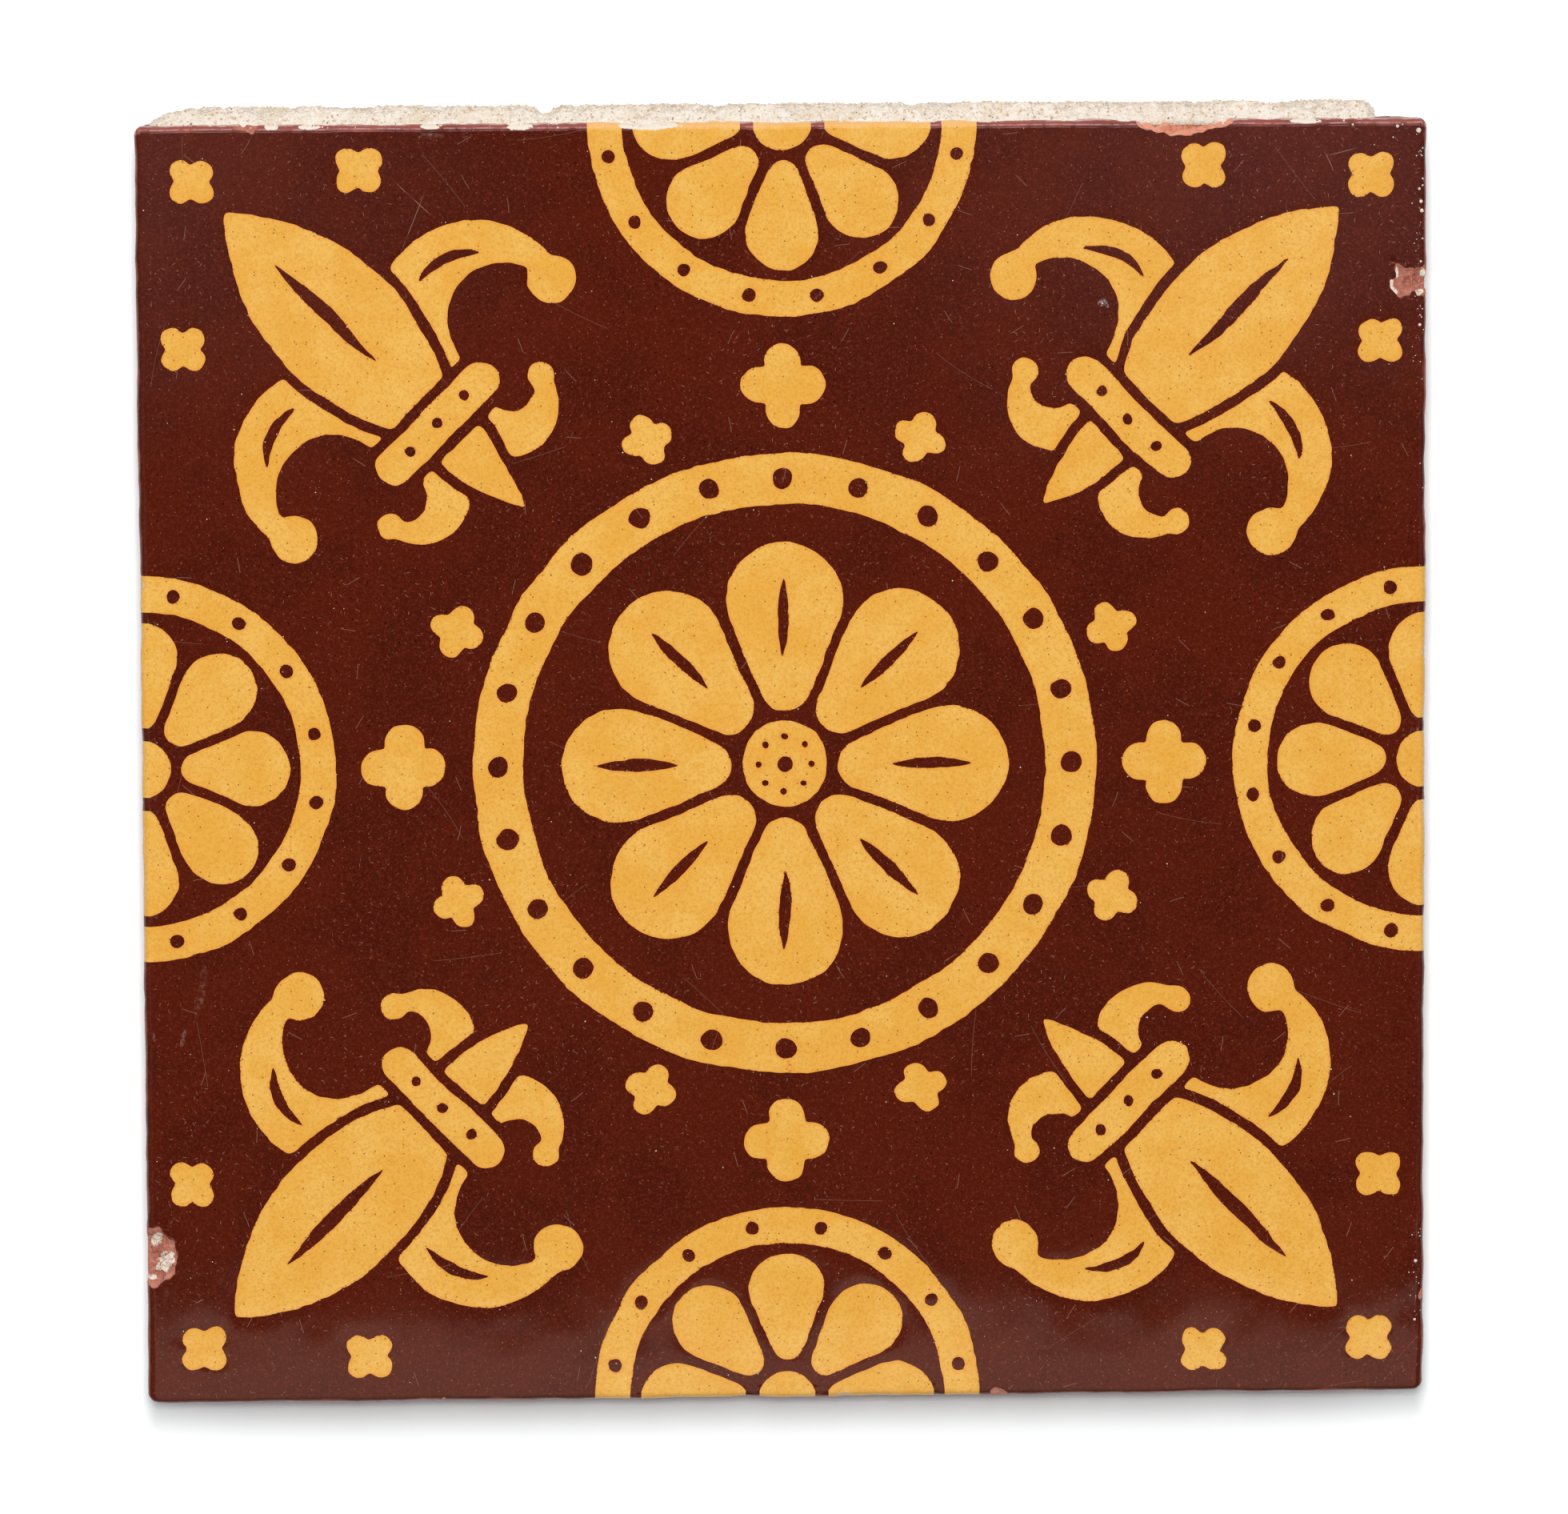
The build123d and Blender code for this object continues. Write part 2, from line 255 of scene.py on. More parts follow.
# %% Chips and hollows
break_inward, break_down = 0.6, 0.8
chip_margin, hollow_margin = 0.8, 0.9
sides = {"east": (1, 0), "north": (0, 1), "west": (-1, 0), "south": (0, -1)}
chip_list = [
    ("north", 47.1, 11.0, 1.9, 2.4, 0.0, 0.1, 0.0),
    ("north", 51.6, 3.6, 1.0, 1.3, 0.0, 0.0, 0.0),
    ("north", 43.2, 3.4, 1.2, 1.2, 0.0, 0.5, 0.0),
    ("east", 56.9, 3.3, 1.9, 1.4, 0.9, 0.4, 0.0),
    ("west", -58.4, 7.6, 3.5, 1.8, 0.8, 0.1, 0.1),
    ("north", -63.2, 3.4, 0.95, 0.4, 0.9, 0.4, 0.0),
    ("south", 6.8, 2.2, 0.7, 0.7, 0.5, 0.2, 0.0),
    ("south", 25.2, 2.8, 0.8, 0.9, 0.5, 0.2, 0.0),
    ("south", -41.0, 1.6, 0.5, 0.5, 0.5, 0.2, 0.0),
    ("east", -64.5, 2.0, 0.6, 0.7, 0.6, 0.5, 0.2),
    ("east", 12.5, 1.6, 0.5, 0.5, 0.6, 0.6, 0.2),
    ("west", 22.0, 2.0, 0.6, 0.6, 0.6, 0.3, 0.0),
]
hollow_list = [
    (73.9, 56.9, 1.7, 0.5, 0.9, 0.3, 0.0),
]


def chip_ball(side, along, length, bite, drop, *finish):
    """A flake's ball: middle, radius, the way the break goes in, and the spot it marks on the face."""
    outward = np.array(sides[side])
    onward = np.array([abs(outward[1]), abs(outward[0])])
    out = (length**2 / 4 - bite**2) / (2 * bite)
    up = (length**2 / 4 - drop**2) / (2 * drop)
    middle = np.array([*(outward * (half_side + out) + onward * along), thickness + up])
    radius = sqrt(length**2 / 4 + out**2 + up**2)
    inward = np.array([*(-outward * break_inward), -break_down])
    reach = max(length / 2, bite) + chip_margin
    return middle, radius, inward, outward * row_limit + onward * along, reach, finish


def hollow_ball(x, y, half_width, depth, *finish):
    """The same for a hollow, whose ball comes from straight above."""
    radius = (half_width**2 + depth**2) / (2 * depth)
    middle = np.array([x, y, thickness + radius - depth])
    return middle, radius, np.array([0, 0, -1.0]), np.array([x, y]), half_width + hollow_margin, finish


damage = [chip_ball(*chip) for chip in chip_list] + [hollow_ball(*hollow) for hollow in hollow_list]
print(len(chip_list), "chips and", len(hollow_list), "hollow")

# %% [markdown]
# ## Stations round the arris
#
# The worn edge of the tile is a roll that turns the face into the sides. It is built as a
# grid: columns stand at stations round the tile, and rows run from the face over the roll
# and down the side to the back. Columns are set closer at each flake, and one stands
# exactly where an outline of the pattern runs over the edge, so that the buff clay can be
# followed down the side of the tile.

# %% Stations
station_step = 1.3
fine_step = 0.22
closest_stations = 0.55 * fine_step
corner_stations = 5
crossing_band = 0.1
anchor_side = half_side - corner_radius


def places_on(outward, onward, crossings):
    """Where stations stand along one side, from corner to corner."""
    places = list(np.linspace(-anchor_side, anchor_side, int(2 * anchor_side / station_step)))
    for _, _, _, spot, reach, _ in damage:
        if spot @ outward > row_limit - 0.01:
            places += list(np.arange(spot @ onward - reach, spot @ onward + reach, fine_step))
    kept = [-anchor_side, anchor_side, *crossings]
    for place in sorted(place for place in places if abs(place) <= anchor_side):
        if min(abs(place - other) for other in kept) > closest_stations:
            kept.append(place)
    return sorted(kept)


open_ends = [points[end] for points, closed in outlines if not closed for end in (0, -1)]
anchors = []
outwards = []
for outward in map(np.array, sides.values()):
    onward = np.array([-outward[1], outward[0]])
    crossings = [end @ onward for end in open_ends if end @ outward > row_limit - crossing_band]
    for place in places_on(outward, onward, crossings):
        anchors.append(outward * anchor_side + onward * place)
        outwards.append(outward)
    for turn in np.linspace(0, pi / 2, corner_stations + 2)[1:-1]:
        anchors.append(outward * anchor_side + onward * anchor_side)
        outwards.append(outward * cos(turn) + onward * sin(turn))
anchors = np.array(anchors)
outwards = np.array(outwards)
station_count = len(anchors)
print(station_count, "stations")


# %% Rows down the side
def station_row(undercut, inset, height):
    """One row of the grid: all stations at this height, this far in from the sharp edge."""
    flat = anchors * ((anchor_side - undercut) / anchor_side) + outwards * (corner_radius - inset)
    return np.column_stack([flat, np.full(station_count, height)])


def undercut_at(height):
    return side_undercut * (thickness - height) / thickness


def round_edge(radius, turn):
    """How far in from a sharp edge, and how far down from it, its rounding is at this turn."""
    return radius * (1 - sin(turn)), radius * (1 - cos(turn))


arris_rows = 8
rows = []
for turn in np.linspace(0, pi / 2, arris_rows):
    inset, drop = round_edge(arris_radius, turn)
    rows.append(station_row(0, inset, thickness - drop))
for height in np.linspace(thickness - arris_radius, recess_floor, 8)[1:]:
    rows.append(station_row(undercut_at(height), 0, height))
floor_row = len(rows) - 1
for height in np.linspace(recess_floor, back_edge_radius, 15)[1:]:
    rows.append(station_row(undercut_at(height), 0, height))
for turn in np.linspace(pi / 2, 0, 5)[1:]:
    inset, rise = round_edge(back_edge_radius, turn)
    rows.append(station_row(side_undercut, inset, rise))
print(len(rows), "rows, the recess floor at row", floor_row)

# %% [markdown]
# ## Triangles over the whole face
#
# The face is one sheet of triangles, and each outline is a chain of edges in it, so the
# buff pieces and the red ground meet along exactly the same line. A constrained Delaunay
# triangulation does this: it is given the outlines as edges that must be kept, and any
# other points we like. No triangle crosses an outline, so triangles that can be reached from
# each other without crossing one form a group, and a whole group is one clay.


# %% Triangles and their groups
def triangulate(points, edges):
    """Triangles over these points that keep these edges, and the group of joined triangles each is in."""
    result = delaunay_2d_cdt([Vector(point) for point in points], edges, [], 0, 1e-7)
    if len(result[0]) != len(points):
        raise ValueError("the outlines cross or touch")
    triangles = np.array(result[2])
    first = np.array([group[0] for group in result[3]])
    triangles = first[triangles]
    a, b, c = (points[triangles[:, corner]] for corner in range(3))
    area = ((b - a)[:, 0] * (c - a)[:, 1] - (b - a)[:, 1] * (c - a)[:, 0]) / 2
    triangles[area < 0] = triangles[area < 0][:, ::-1]
    kept = np.abs(area) > 1e-6
    triangles, area = triangles[kept], np.abs(area[kept])
    walls = {frozenset(edge) for edge in edges}
    sharing = {}
    for index, (i, j, k) in enumerate(triangles):
        for edge in (frozenset((i, j)), frozenset((j, k)), frozenset((k, i))):
            if edge not in walls:
                sharing.setdefault(edge, []).append(index)
    neighbours = [[] for _ in triangles]
    for pair in sharing.values():
        if len(pair) == 2:
            neighbours[pair[0]].append(pair[1])
            neighbours[pair[1]].append(pair[0])
    group = np.full(len(triangles), -1)
    groups = 0
    for seed in range(len(triangles)):
        if group[seed] < 0:
            group[seed] = groups
            front = [seed]
            while front:
                for other in neighbours[front.pop()]:
                    if group[other] < 0:
                        group[other] = groups
                        front.append(other)
            groups += 1
    return triangles, area, group


square = np.array([(0.0, 0.0), (1.0, 0.0), (1.0, 1.0), (0.0, 1.0)])
print("a square gives", len(triangulate(square, [(0, 1), (1, 2), (2, 3), (3, 0)])[0]), "triangles")


# %% The motif of a group
def motif_at(point):
    """The index of the motif that this point of the face is in, or -1 on the ground."""
    for index, node in enumerate(inlay_nodes):
        if motif_tops[node].ray_cast(Vector((*point, thickness + 1)), Vector((0, 0, -1)))[0]:
            return index
    return -1


def name_groups(points, triangles, area, group):
    """The motif of each triangle, asked once for the largest triangle of its group."""
    motif = np.zeros(len(triangles), int)
    for number in range(group.max() + 1):
        members = np.flatnonzero(group == number)
        largest = members[np.argmax(area[members])]
        motif[members] = motif_at(points[triangles[largest]].mean(axis=0))
    return motif


print("the middle of the face is", owners[motif_at((0, 0)) + 1])

# %% [markdown]
# ## Where the face has points
#
# The outlines come first. Rows of points on both sides of each of them leave room for the
# small step in the glaze there. Each flake gets a patch of close points, so that its bed can
# be rippled, two rows follow the rim, and a loose, jittered grid fills the rest. A new point
# that would crowd an old one is dropped.


# %% Points that keep apart
def tree_of(points):
    """A search tree over flat points."""
    tree = KDTree(len(points))
    for index, point in enumerate(points):
        tree.insert((*point, 0), index)
    tree.balance()
    return tree


def apart(points, others, distance):
    """The points that are at least this far from all the others and from each other."""
    tree = tree_of(others)
    points = np.array([point for point in points if tree.find((*point, 0))[2] > distance])
    tree = tree_of(points)
    kept = np.ones(len(points), bool)
    for index, point in enumerate(points):
        if kept[index]:
            crowd = [other for _, other, _ in tree.find_range((*point, 0), distance)]
            kept[[other for other in crowd if other > index]] = False
    return points[kept]


def inside_face(points, margin):
    return points[np.abs(points).max(axis=1) < row_limit - margin]


print("ready to strew points")

# %% Points on and beside the outlines
near_line = 0.3
far_line = 0.8
rim = rows[0][:, :2]
rim_edges = [(station, (station + 1) % station_count) for station in range(station_count)]
fixed_points = [rim]
fixed_edges = list(rim_edges)
fixed_count = station_count
beside_near = []
beside_far = []
for points, closed in outlines:
    inner = points if closed else points[1:-1]
    numbers = list(range(fixed_count, fixed_count + len(inner)))
    if not closed:
        first, last = (int(np.argmin(np.linalg.norm(rim - points[end], axis=1))) for end in (0, -1))
        numbers = [first, *numbers, last]
    following = numbers[1:] + numbers[:1] if closed else numbers[1:]
    fixed_edges += zip(numbers, following)
    fixed_points.append(inner)
    fixed_count += len(inner)
    heading = np.roll(points, -1, axis=0) - np.roll(points, 1, axis=0)
    heading /= np.linalg.norm(heading, axis=1)[:, None]
    across = np.column_stack([-heading[:, 1], heading[:, 0]])[2:-2]
    middle = points[2:-2]
    for sign in (1, -1):
        beside_near.append(middle + sign * near_line * across)
        beside_far.append(middle[::2] + sign * far_line * across[::2])
fixed_points = np.vstack(fixed_points)
line_points = fixed_points[station_count:]
near = apart(inside_face(np.vstack(beside_near), 0.2), line_points, 0.85 * near_line)
far = apart(inside_face(np.vstack(beside_far), 0.3), np.vstack([line_points, near]), 0.42)
taken = np.vstack([fixed_points, near, far])
print(len(line_points), "points on the outlines,", len(near), "near them and", len(far), "further out")

# %% Points on flakes, rim and ground
grid_step = 1.15
grid_jitter = 0.25
rim_rows = ((0.25, 0.2), (0.7, 0.42))
for _, _, _, spot, reach, _ in damage:
    patch = np.arange(-reach, reach, fine_step)
    patch = np.array([(x, y) for x in patch for y in patch if hypot(x, y) < reach]) + spot
    patch = inside_face(patch, 0.1)
    taken = np.vstack([taken, apart(patch, taken, 0.5 * fine_step)])
for inset, distance in rim_rows:
    beside_rim = station_row(0, arris_radius + inset, thickness)[:, :2]
    taken = np.vstack([taken, apart(beside_rim, taken, distance)])
random = np.random.default_rng(7)
grid = np.arange(-row_limit + 0.7, row_limit - 0.6, grid_step)
grid = np.array([(x, y) for x in grid for y in grid])
grid = apart(grid + random.uniform(-grid_jitter, grid_jitter, grid.shape) * grid_step, taken, 0.6)
face_points = np.vstack([taken, grid])
print(len(face_points), "points on the face")

# %% Triangulate the face and the recess floors
face_triangles, face_area, face_group = triangulate(face_points, fixed_edges)
face_motif = name_groups(face_points, face_triangles, face_area, face_group)
floor_triangles, floor_area, floor_group = triangulate(fixed_points, fixed_edges)
floor_motif = name_groups(fixed_points, floor_triangles, floor_area, floor_group)
buff_share = face_area[face_motif >= 0].sum() / face_area.sum()
print(len(face_triangles), "triangles on the face;", round(100 * buff_share, 1), "% of it is buff")

# %% [markdown]
# ## The back and its keying pockets
#
# The back is flat, with shallow round pockets that the bedding mortar grips. Their walls
# lean, so seen from below nothing hides anything, and the whole back is a height field: a
# sheet of triangles whose points are lifted by a rule. Rings of points round each pocket
# give the wall its rounded lip and foot. Places and radii are read from the frame's block.

# %% Keying pockets
block = merged_mesh("tile_body")
pocket_depth = max(face.calc_center_median().z for face in block.faces if face.normal.z < -0.99)
pocket_floors = [chain for chain, _ in edge_chains(flat_faces(block, pocket_depth, -1))]
pocket_mouths = [chain for chain, _ in edge_chains(flat_faces(block, 0, -1)) if np.ptp(chain[:, 0]) < 20]
block.free()
pocket_centres = np.array([(chain.max(axis=0) + chain.min(axis=0)) / 2 for chain in pocket_floors])
pocket_floor_radius = np.ptp(pocket_floors[0][:, 0]) / 2
pocket_mouth_radius = np.ptp(pocket_mouths[0][:, 0]) / 2


def back_height(points):
    """How far the back is hollowed at these points."""
    distance = np.linalg.norm(points[:, None] - pocket_centres[None], axis=2).min(axis=1)
    ramp = np.clip((pocket_mouth_radius - distance) / (pocket_mouth_radius - pocket_floor_radius), 0, 1)
    return pocket_depth * (0.7 * ramp + 0.3 * smooth_step(0, 1, ramp))


print(len(pocket_centres), "pockets", round(pocket_depth, 2), "mm deep")

# %% Back
back_step = 2.0
back_jitter = 0.3
ring_points = 26
wall_rings = 7
back_rim = rows[-1][:, :2]
turns = np.linspace(0, 2 * pi, ring_points, endpoint=False)
circle = np.column_stack([np.cos(turns), np.sin(turns)])
wall_radii = np.linspace(pocket_floor_radius, pocket_mouth_radius, wall_rings)
wall_radii = [pocket_floor_radius - 0.5, *wall_radii, pocket_mouth_radius + 0.5]
wall_points = np.vstack([centre + radius * circle for centre in pocket_centres for radius in wall_radii])
limit = half_side - side_undercut - 1.6
grid = np.arange(-limit, limit, back_step)
grid = np.array([(x, y) for x in grid for y in grid])
grid = grid + random.uniform(-back_jitter, back_jitter, grid.shape) * back_step
grid = apart(inside_face(grid, side_undercut + 0.6), np.vstack([back_rim, wall_points]), 0.8)
back_points = np.vstack([back_rim, wall_points, grid])
back_triangles, _, _ = triangulate(back_points, rim_edges)
print(len(back_triangles), "triangles on the back")

# %% [markdown]
# ## One cloud of points for the whole tile
#
# Block and inlays share their walls, so their points go in one array and each piece only
# picks from it. First come the points of the face, then the same outlines again at the
# floor of the recesses, then the rows of the sides, then the back. From here on nothing is
# flat any more: each point is moved by rules that look only at where it started.

# %% All points
first_floor = len(face_points)
first_row = first_floor + len(fixed_points)
first_back = first_row + (len(rows) - 1) * station_count
start = np.vstack(
    [
        np.column_stack([face_points, np.full(len(face_points), thickness)]),
        np.column_stack([fixed_points, np.full(len(fixed_points), recess_floor)]),
        *rows[1:],
        np.column_stack([back_points[station_count:], back_height(back_points[station_count:])]),
    ]
)


def station_id(row, station):
    """The number of the point at this row and station."""
    station = station % station_count
    return station if row == 0 else first_row + (row - 1) * station_count + station


def back_id(index):
    """The number of a point of the back's sheet, whose rim is the last row."""
    if index < station_count:
        return station_id(len(rows) - 1, index)
    return first_back + index - station_count


print(len(start), "points")

# %% [markdown]
# ## Bending the clay
#
# Each part of the tile is uneven in its own way. The outlines wander by a tenth of a
# millimetre, as an edge of slip does. The glaze on the face lies in very shallow swells, dips
# in a soft gutter along each outline and falls a little towards the rim: all of it is too low
# to see, but it bends what the glaze mirrors. The arris is rubbed and nicked, and the sides
# and the back, which are bare clay, are coarser.

# %% Outlines that wander
slow_wander = 0.085
quick_wander = 0.032
plan = start[:, :2]
from_edge = half_side - np.abs(plan).max(axis=1)
inner = smooth_step(0.9, 4, from_edge)
wander = np.column_stack(
    [
        slow_wander * (0.5 + 0.5 * inner) * smooth_noise(plan, 9, 11 + axis)
        + quick_wander * inner * smooth_noise(plan, 1.7, 21 + axis)
        for axis in (0, 1)
    ]
)
bent = start.copy()
bent[:, :2] += wander
print("points wander by up to", round(np.abs(wander).max(), 2), "mm")

# %% Swells of the glaze
swell = 0.0035
quick_swell = 0.0008
gutter = 0.003
rim_drop = 0.05
line_tree = tree_of(line_points)
to_line = np.array([line_tree.find((*point, 0))[2] for point in face_points])
swells = swell * smooth_noise(face_points, 26, 31) + quick_swell * smooth_noise(face_points, 6, 32)
roll = rim_drop * smooth_step(4.5, 0, from_edge) ** 2
above_gutter = gutter * smooth_step(0, 0.9, to_line) * inner[:first_floor]
bent[:first_floor, 2] += swells * inner[:first_floor] - roll[:first_floor] + above_gutter
rise = bent[:first_floor, 2] - thickness
print("face from", round(rise.min(), 3), "to", round(rise.max(), 3), "mm")

# %% Rubbed arris and rough sides
side_roughness = 0.1
back_roughness = 0.05
out = np.tile(outwards, (len(rows) - 1, 1))
side = slice(first_row, first_back)
below_face = thickness - start[side, 2]
rolled = smooth_step(0, 0.5, below_face) * smooth_step(5, 1.5, below_face)
rub = 0.03 * smooth_noise(start[side], 4, 45) + 0.02 * smooth_noise(start[side], 1.1, 46)
bent[side, :2] -= out * (rolled * np.maximum(rub + 0.03, -0.02))[:, None]
bent[side, 2] -= roll[side] * smooth_step(3, 0, below_face)

# The bare sides: their roughness fades out under the glaze at the top
bare = smooth_step(1.5, 4.5, below_face)
grain = 0.6 * smooth_noise(start[side], 5, 41) + 0.4 * smooth_noise(start[side], 1.6, 42)
scrape = smooth_noise(start[side] * (0.12, 0.12, 1), 1.3, 43)
bent[side, :2] += out * (side_roughness * bare * (grain + 0.5 * scrape))[:, None]
under = slice(first_back, None)
inside_back = smooth_step(0.3, 2, from_edge[under] - side_undercut)
bent[under, 2] += back_roughness * np.abs(smooth_noise(start[under, :2], 7, 44)) * inside_back
print("sides and back roughened")

# %% [markdown]
# ## Breaking the flakes out
#
# A flake is not cut by a boolean, because that would leave slivers in the mesh. Each point
# inside the flake's ball slides inwards and down until it reaches the far side of the
# ball, which turns the arris into the bed of the break and leaves every triangle joined to
# its neighbours. The ball is dented by noise, so the rim is ragged and the bed rippled.
# How far inside or outside the ball each point lay is kept as an attribute, which the
# materials read.

# %% Flakes
rim_raggedness = 0.06
red_raggedness = 0.16
bed_ripple, fine_ripple = 0.3, 0.12
rim_depth = 0.75
broken = np.full(len(start), -0.5)
finish = np.zeros((len(start), 2))
carvable = np.ones(len(start), bool)
carvable[first_floor:first_row] = False
for middle, radius, inward, spot, reach, (redness, rim_lime, bed_lime) in damage:
    close = np.flatnonzero(carvable & (np.linalg.norm(bent[:, :2] - spot, axis=1) < reach + 2.5))
    here = bent[close]
    ragged = np.column_stack([smooth_noise(here, 1.5, 50 + axis) for axis in range(3)])
    ragged += 0.3 * np.column_stack([smooth_noise(here, 0.7, 60 + axis) for axis in range(3)])
    raggedness = rim_raggedness + red_raggedness * redness**3
    offset = here + raggedness * min(1, reach / 3) * ragged - middle
    along = offset @ inward
    chord = along**2 - (offset**2).sum(axis=1) + radius**2
    outside = np.linalg.norm(offset, axis=1) - radius
    depth = np.where(outside < 0, np.sqrt(np.maximum(chord, 0)) - along, 0)
    ripple = 1 + bed_ripple * smooth_noise(here, 1.1, 70) + fine_ripple * smooth_noise(here, 0.4, 71)
    depth = np.maximum(depth, 0) * np.clip(ripple, 0.4, 1.5)
    bent[close] += depth[:, None] * inward
    inside = np.where(outside < 0, np.minimum(-outside, depth), -outside)
    broken[close] = np.maximum(broken[close], inside)
    lime = np.maximum(smooth_step(rim_depth, 0.1, depth) * rim_lime, bed_lime)
    own = outside < 0.25
    finish[close[own], 0] = redness
    finish[close[own], 1] = np.maximum(finish[close[own], 1], lime[own])
print((broken > 0.02).sum(), "points lie in flakes, the deepest at", round(broken.max(), 2), "mm")

# %% [markdown]
# ## Sharing the points out to the pieces
#
# Each triangle of the face belongs to the block or to one motif. Where two owners meet,
# each gets its own wall down to the floor of the recess, wound so that it faces out of that
# piece. The pieces are therefore closed solids that fit each other exactly, as the clays do.

# %% Walls between the pieces
piece_triangles = {name: [] for name in owners}
outline_edges = {frozenset(edge) for edge in fixed_edges[station_count:]}
station_motif = [-1] * station_count


def fan(border):
    """Triangles that fill a border from its first point."""
    return [(border[0], a, b) for a, b in zip(border[1:], border[2:])]


def wall(i, j):
    """The wall under the outline from point i to point j, which faces to the right of it."""
    if i < station_count:
        down = [station_id(row, i) for row in range(floor_row + 1)]
        return fan([j, *down, first_floor + i, first_floor + j])
    if j < station_count:
        up = [station_id(row, j) for row in range(floor_row, -1, -1)]
        return fan([i, first_floor + i, first_floor + j, *up])
    return fan([i, first_floor + i, first_floor + j, j])


print(len(outline_edges), "edges between two clays")

# %% Triangles of each piece
for triangle, motif in zip(face_triangles.tolist(), face_motif.tolist()):
    piece = piece_triangles[owners[motif + 1]]
    piece.append(triangle)
    for i, j in zip(triangle, triangle[1:] + triangle[:1]):
        if frozenset((i, j)) in outline_edges:
            piece += wall(i, j)
        elif i < station_count and j == (i + 1) % station_count:
            station_motif[i] = motif

for (i, j, k), motif in zip((floor_triangles + first_floor).tolist(), floor_motif.tolist()):
    if motif >= 0:
        piece_triangles["tile_body"].append((i, j, k))
        piece_triangles[owners[motif + 1]].append((k, j, i))

for station, motif in enumerate(station_motif):
    for row in range(len(rows) - 1):
        upper, upper_next = station_id(row, station), station_id(row, station + 1)
        lower, lower_next = station_id(row + 1, station), station_id(row + 1, station + 1)
        piece = piece_triangles[owners[motif + 1] if row < floor_row else "tile_body"]
        piece += fan([upper, lower, lower_next, upper_next])
    if motif >= 0:
        inner = first_floor + station
        inner_next = first_floor + (station + 1) % station_count
        ledge = [inner, station_id(floor_row, station), station_id(floor_row, station + 1), inner_next]
        piece_triangles["tile_body"] += fan(ledge)
        piece_triangles[owners[motif + 1]] += fan(ledge[::-1])

for i, j, k in back_triangles.tolist():
    piece_triangles["tile_body"].append((back_id(k), back_id(j), back_id(i)))
print(sum(len(triangles) for triangles in piece_triangles.values()), "triangles shared out")


# %% Make the clay pieces
smooth_angle = 38
line_distance = np.array([line_tree.find((*point, 0))[2] for point in start[:, :2]])
point_values = {
    "broken": broken,
    "redness": finish[:, 0],
    "lime": finish[:, 1],
    "from_line": np.minimum(line_distance, 3),
}


def open_edges(mesh):
    """The number of edges that don't join exactly two faces."""
    check = bmesh.new()
    check.from_mesh(mesh)
    count = sum(len(edge.link_faces) != 2 for edge in check.edges)
    check.free()
    return count


def new_piece(name, mesh):
    piece = bpy.data.objects.new(name, mesh)
    bpy.context.collection.objects.link(piece)
    return piece


clay_pieces = {}
for node, triangles in piece_triangles.items():
    used, corners = np.unique(np.array(triangles), return_inverse=True)
    mesh = bpy.data.meshes.new(node + "_clay")
    mesh.from_pydata((bent[used] * millimetre).tolist(), [], corners.reshape(-1, 3).tolist())
    mesh.shade_smooth()
    mesh.set_sharp_from_angle(angle=radians(smooth_angle))
    for value_name, values in point_values.items():
        layer = mesh.attributes.new(value_name, "FLOAT", "POINT")
        layer.data.foreach_set("value", values[used].astype(np.float32))
    clay_pieces[node] = new_piece(node + "_clay", mesh)
    print(node, len(mesh.polygons), "triangles,", open_edges(mesh), "open edges")

# %% [markdown]
# ## The mortar crust
#
# The tile was laid against others, and a strip of the sandy lime mortar between them stayed
# on one side when it was lifted. In the frame it is a plain slab with a torn hem. Here it
# is a closed shell over the same outline, with a fine grid on its front and a flat back that
# is sunk into the clay. First the slab is measured, in the plane of the side that it is on.

# %% The slab in its own plane
crust_plane_angle = atan2(side_undercut, thickness)
slab = merged_mesh("mortar_residue")
slab_points = np.array([vertex.co for vertex in slab.verts])
slab.free()
down_side = np.array([0, -sin(crust_plane_angle), -cos(crust_plane_angle)])
off_side = np.array([0, cos(crust_plane_angle), -sin(crust_plane_angle)])
side_origin = np.array([0, half_side, thickness])
slab_down = (slab_points - side_origin) @ down_side
slab_off = (slab_points - side_origin) @ off_side
crust_height = slab_off.max()
outline = np.column_stack([slab_points[:, 0], slab_down])[slab_off < 0.01]
outline = outline[np.argsort(outline[:, 0])]
crust_top = outline[:, 1].min()
hem = outline[outline[:, 1] > crust_top + 2]
crust_west, crust_east = outline[0, 0], outline[-1, 0]
print("crust", round(crust_east - crust_west, 1), "mm long and", round(crust_height, 2), "mm thick")

# %% Its grid, between a top line and a hem
crust_columns = 400
lip_share, lip_rows, front_rows = 0.16, 22, 62
across = np.linspace(crust_west, crust_east, crust_columns)
along = across[:, None]
hem_line = np.interp(across, hem[:, 0], hem[:, 1])
hem_line += 0.9 * smooth_noise(along, 7, 81) + 0.4 * smooth_noise(along, 2, 82)
hem_line = np.clip(hem_line, crust_top + 4, thickness - 0.6)
top_line = crust_top - 0.25 + 0.14 * smooth_noise(along, 6, 83)
top_line = np.clip(top_line + 0.08 * smooth_noise(along, 1.4, 84), 0.45, None)
shares = np.concatenate([np.linspace(0, lip_share, lip_rows), np.linspace(lip_share, 1, front_rows)[1:]])
spread = top_line[:, None] + (hem_line - top_line)[:, None] * shares[None]
flat = np.column_stack([np.repeat(across, len(shares)), spread.ravel()])
from_top = (spread - top_line[:, None]).ravel()
from_hem = (hem_line[:, None] - spread).ravel()
from_west = flat[:, 0] - crust_west
from_east = crust_east - flat[:, 0]
print(len(flat), "points on its front")

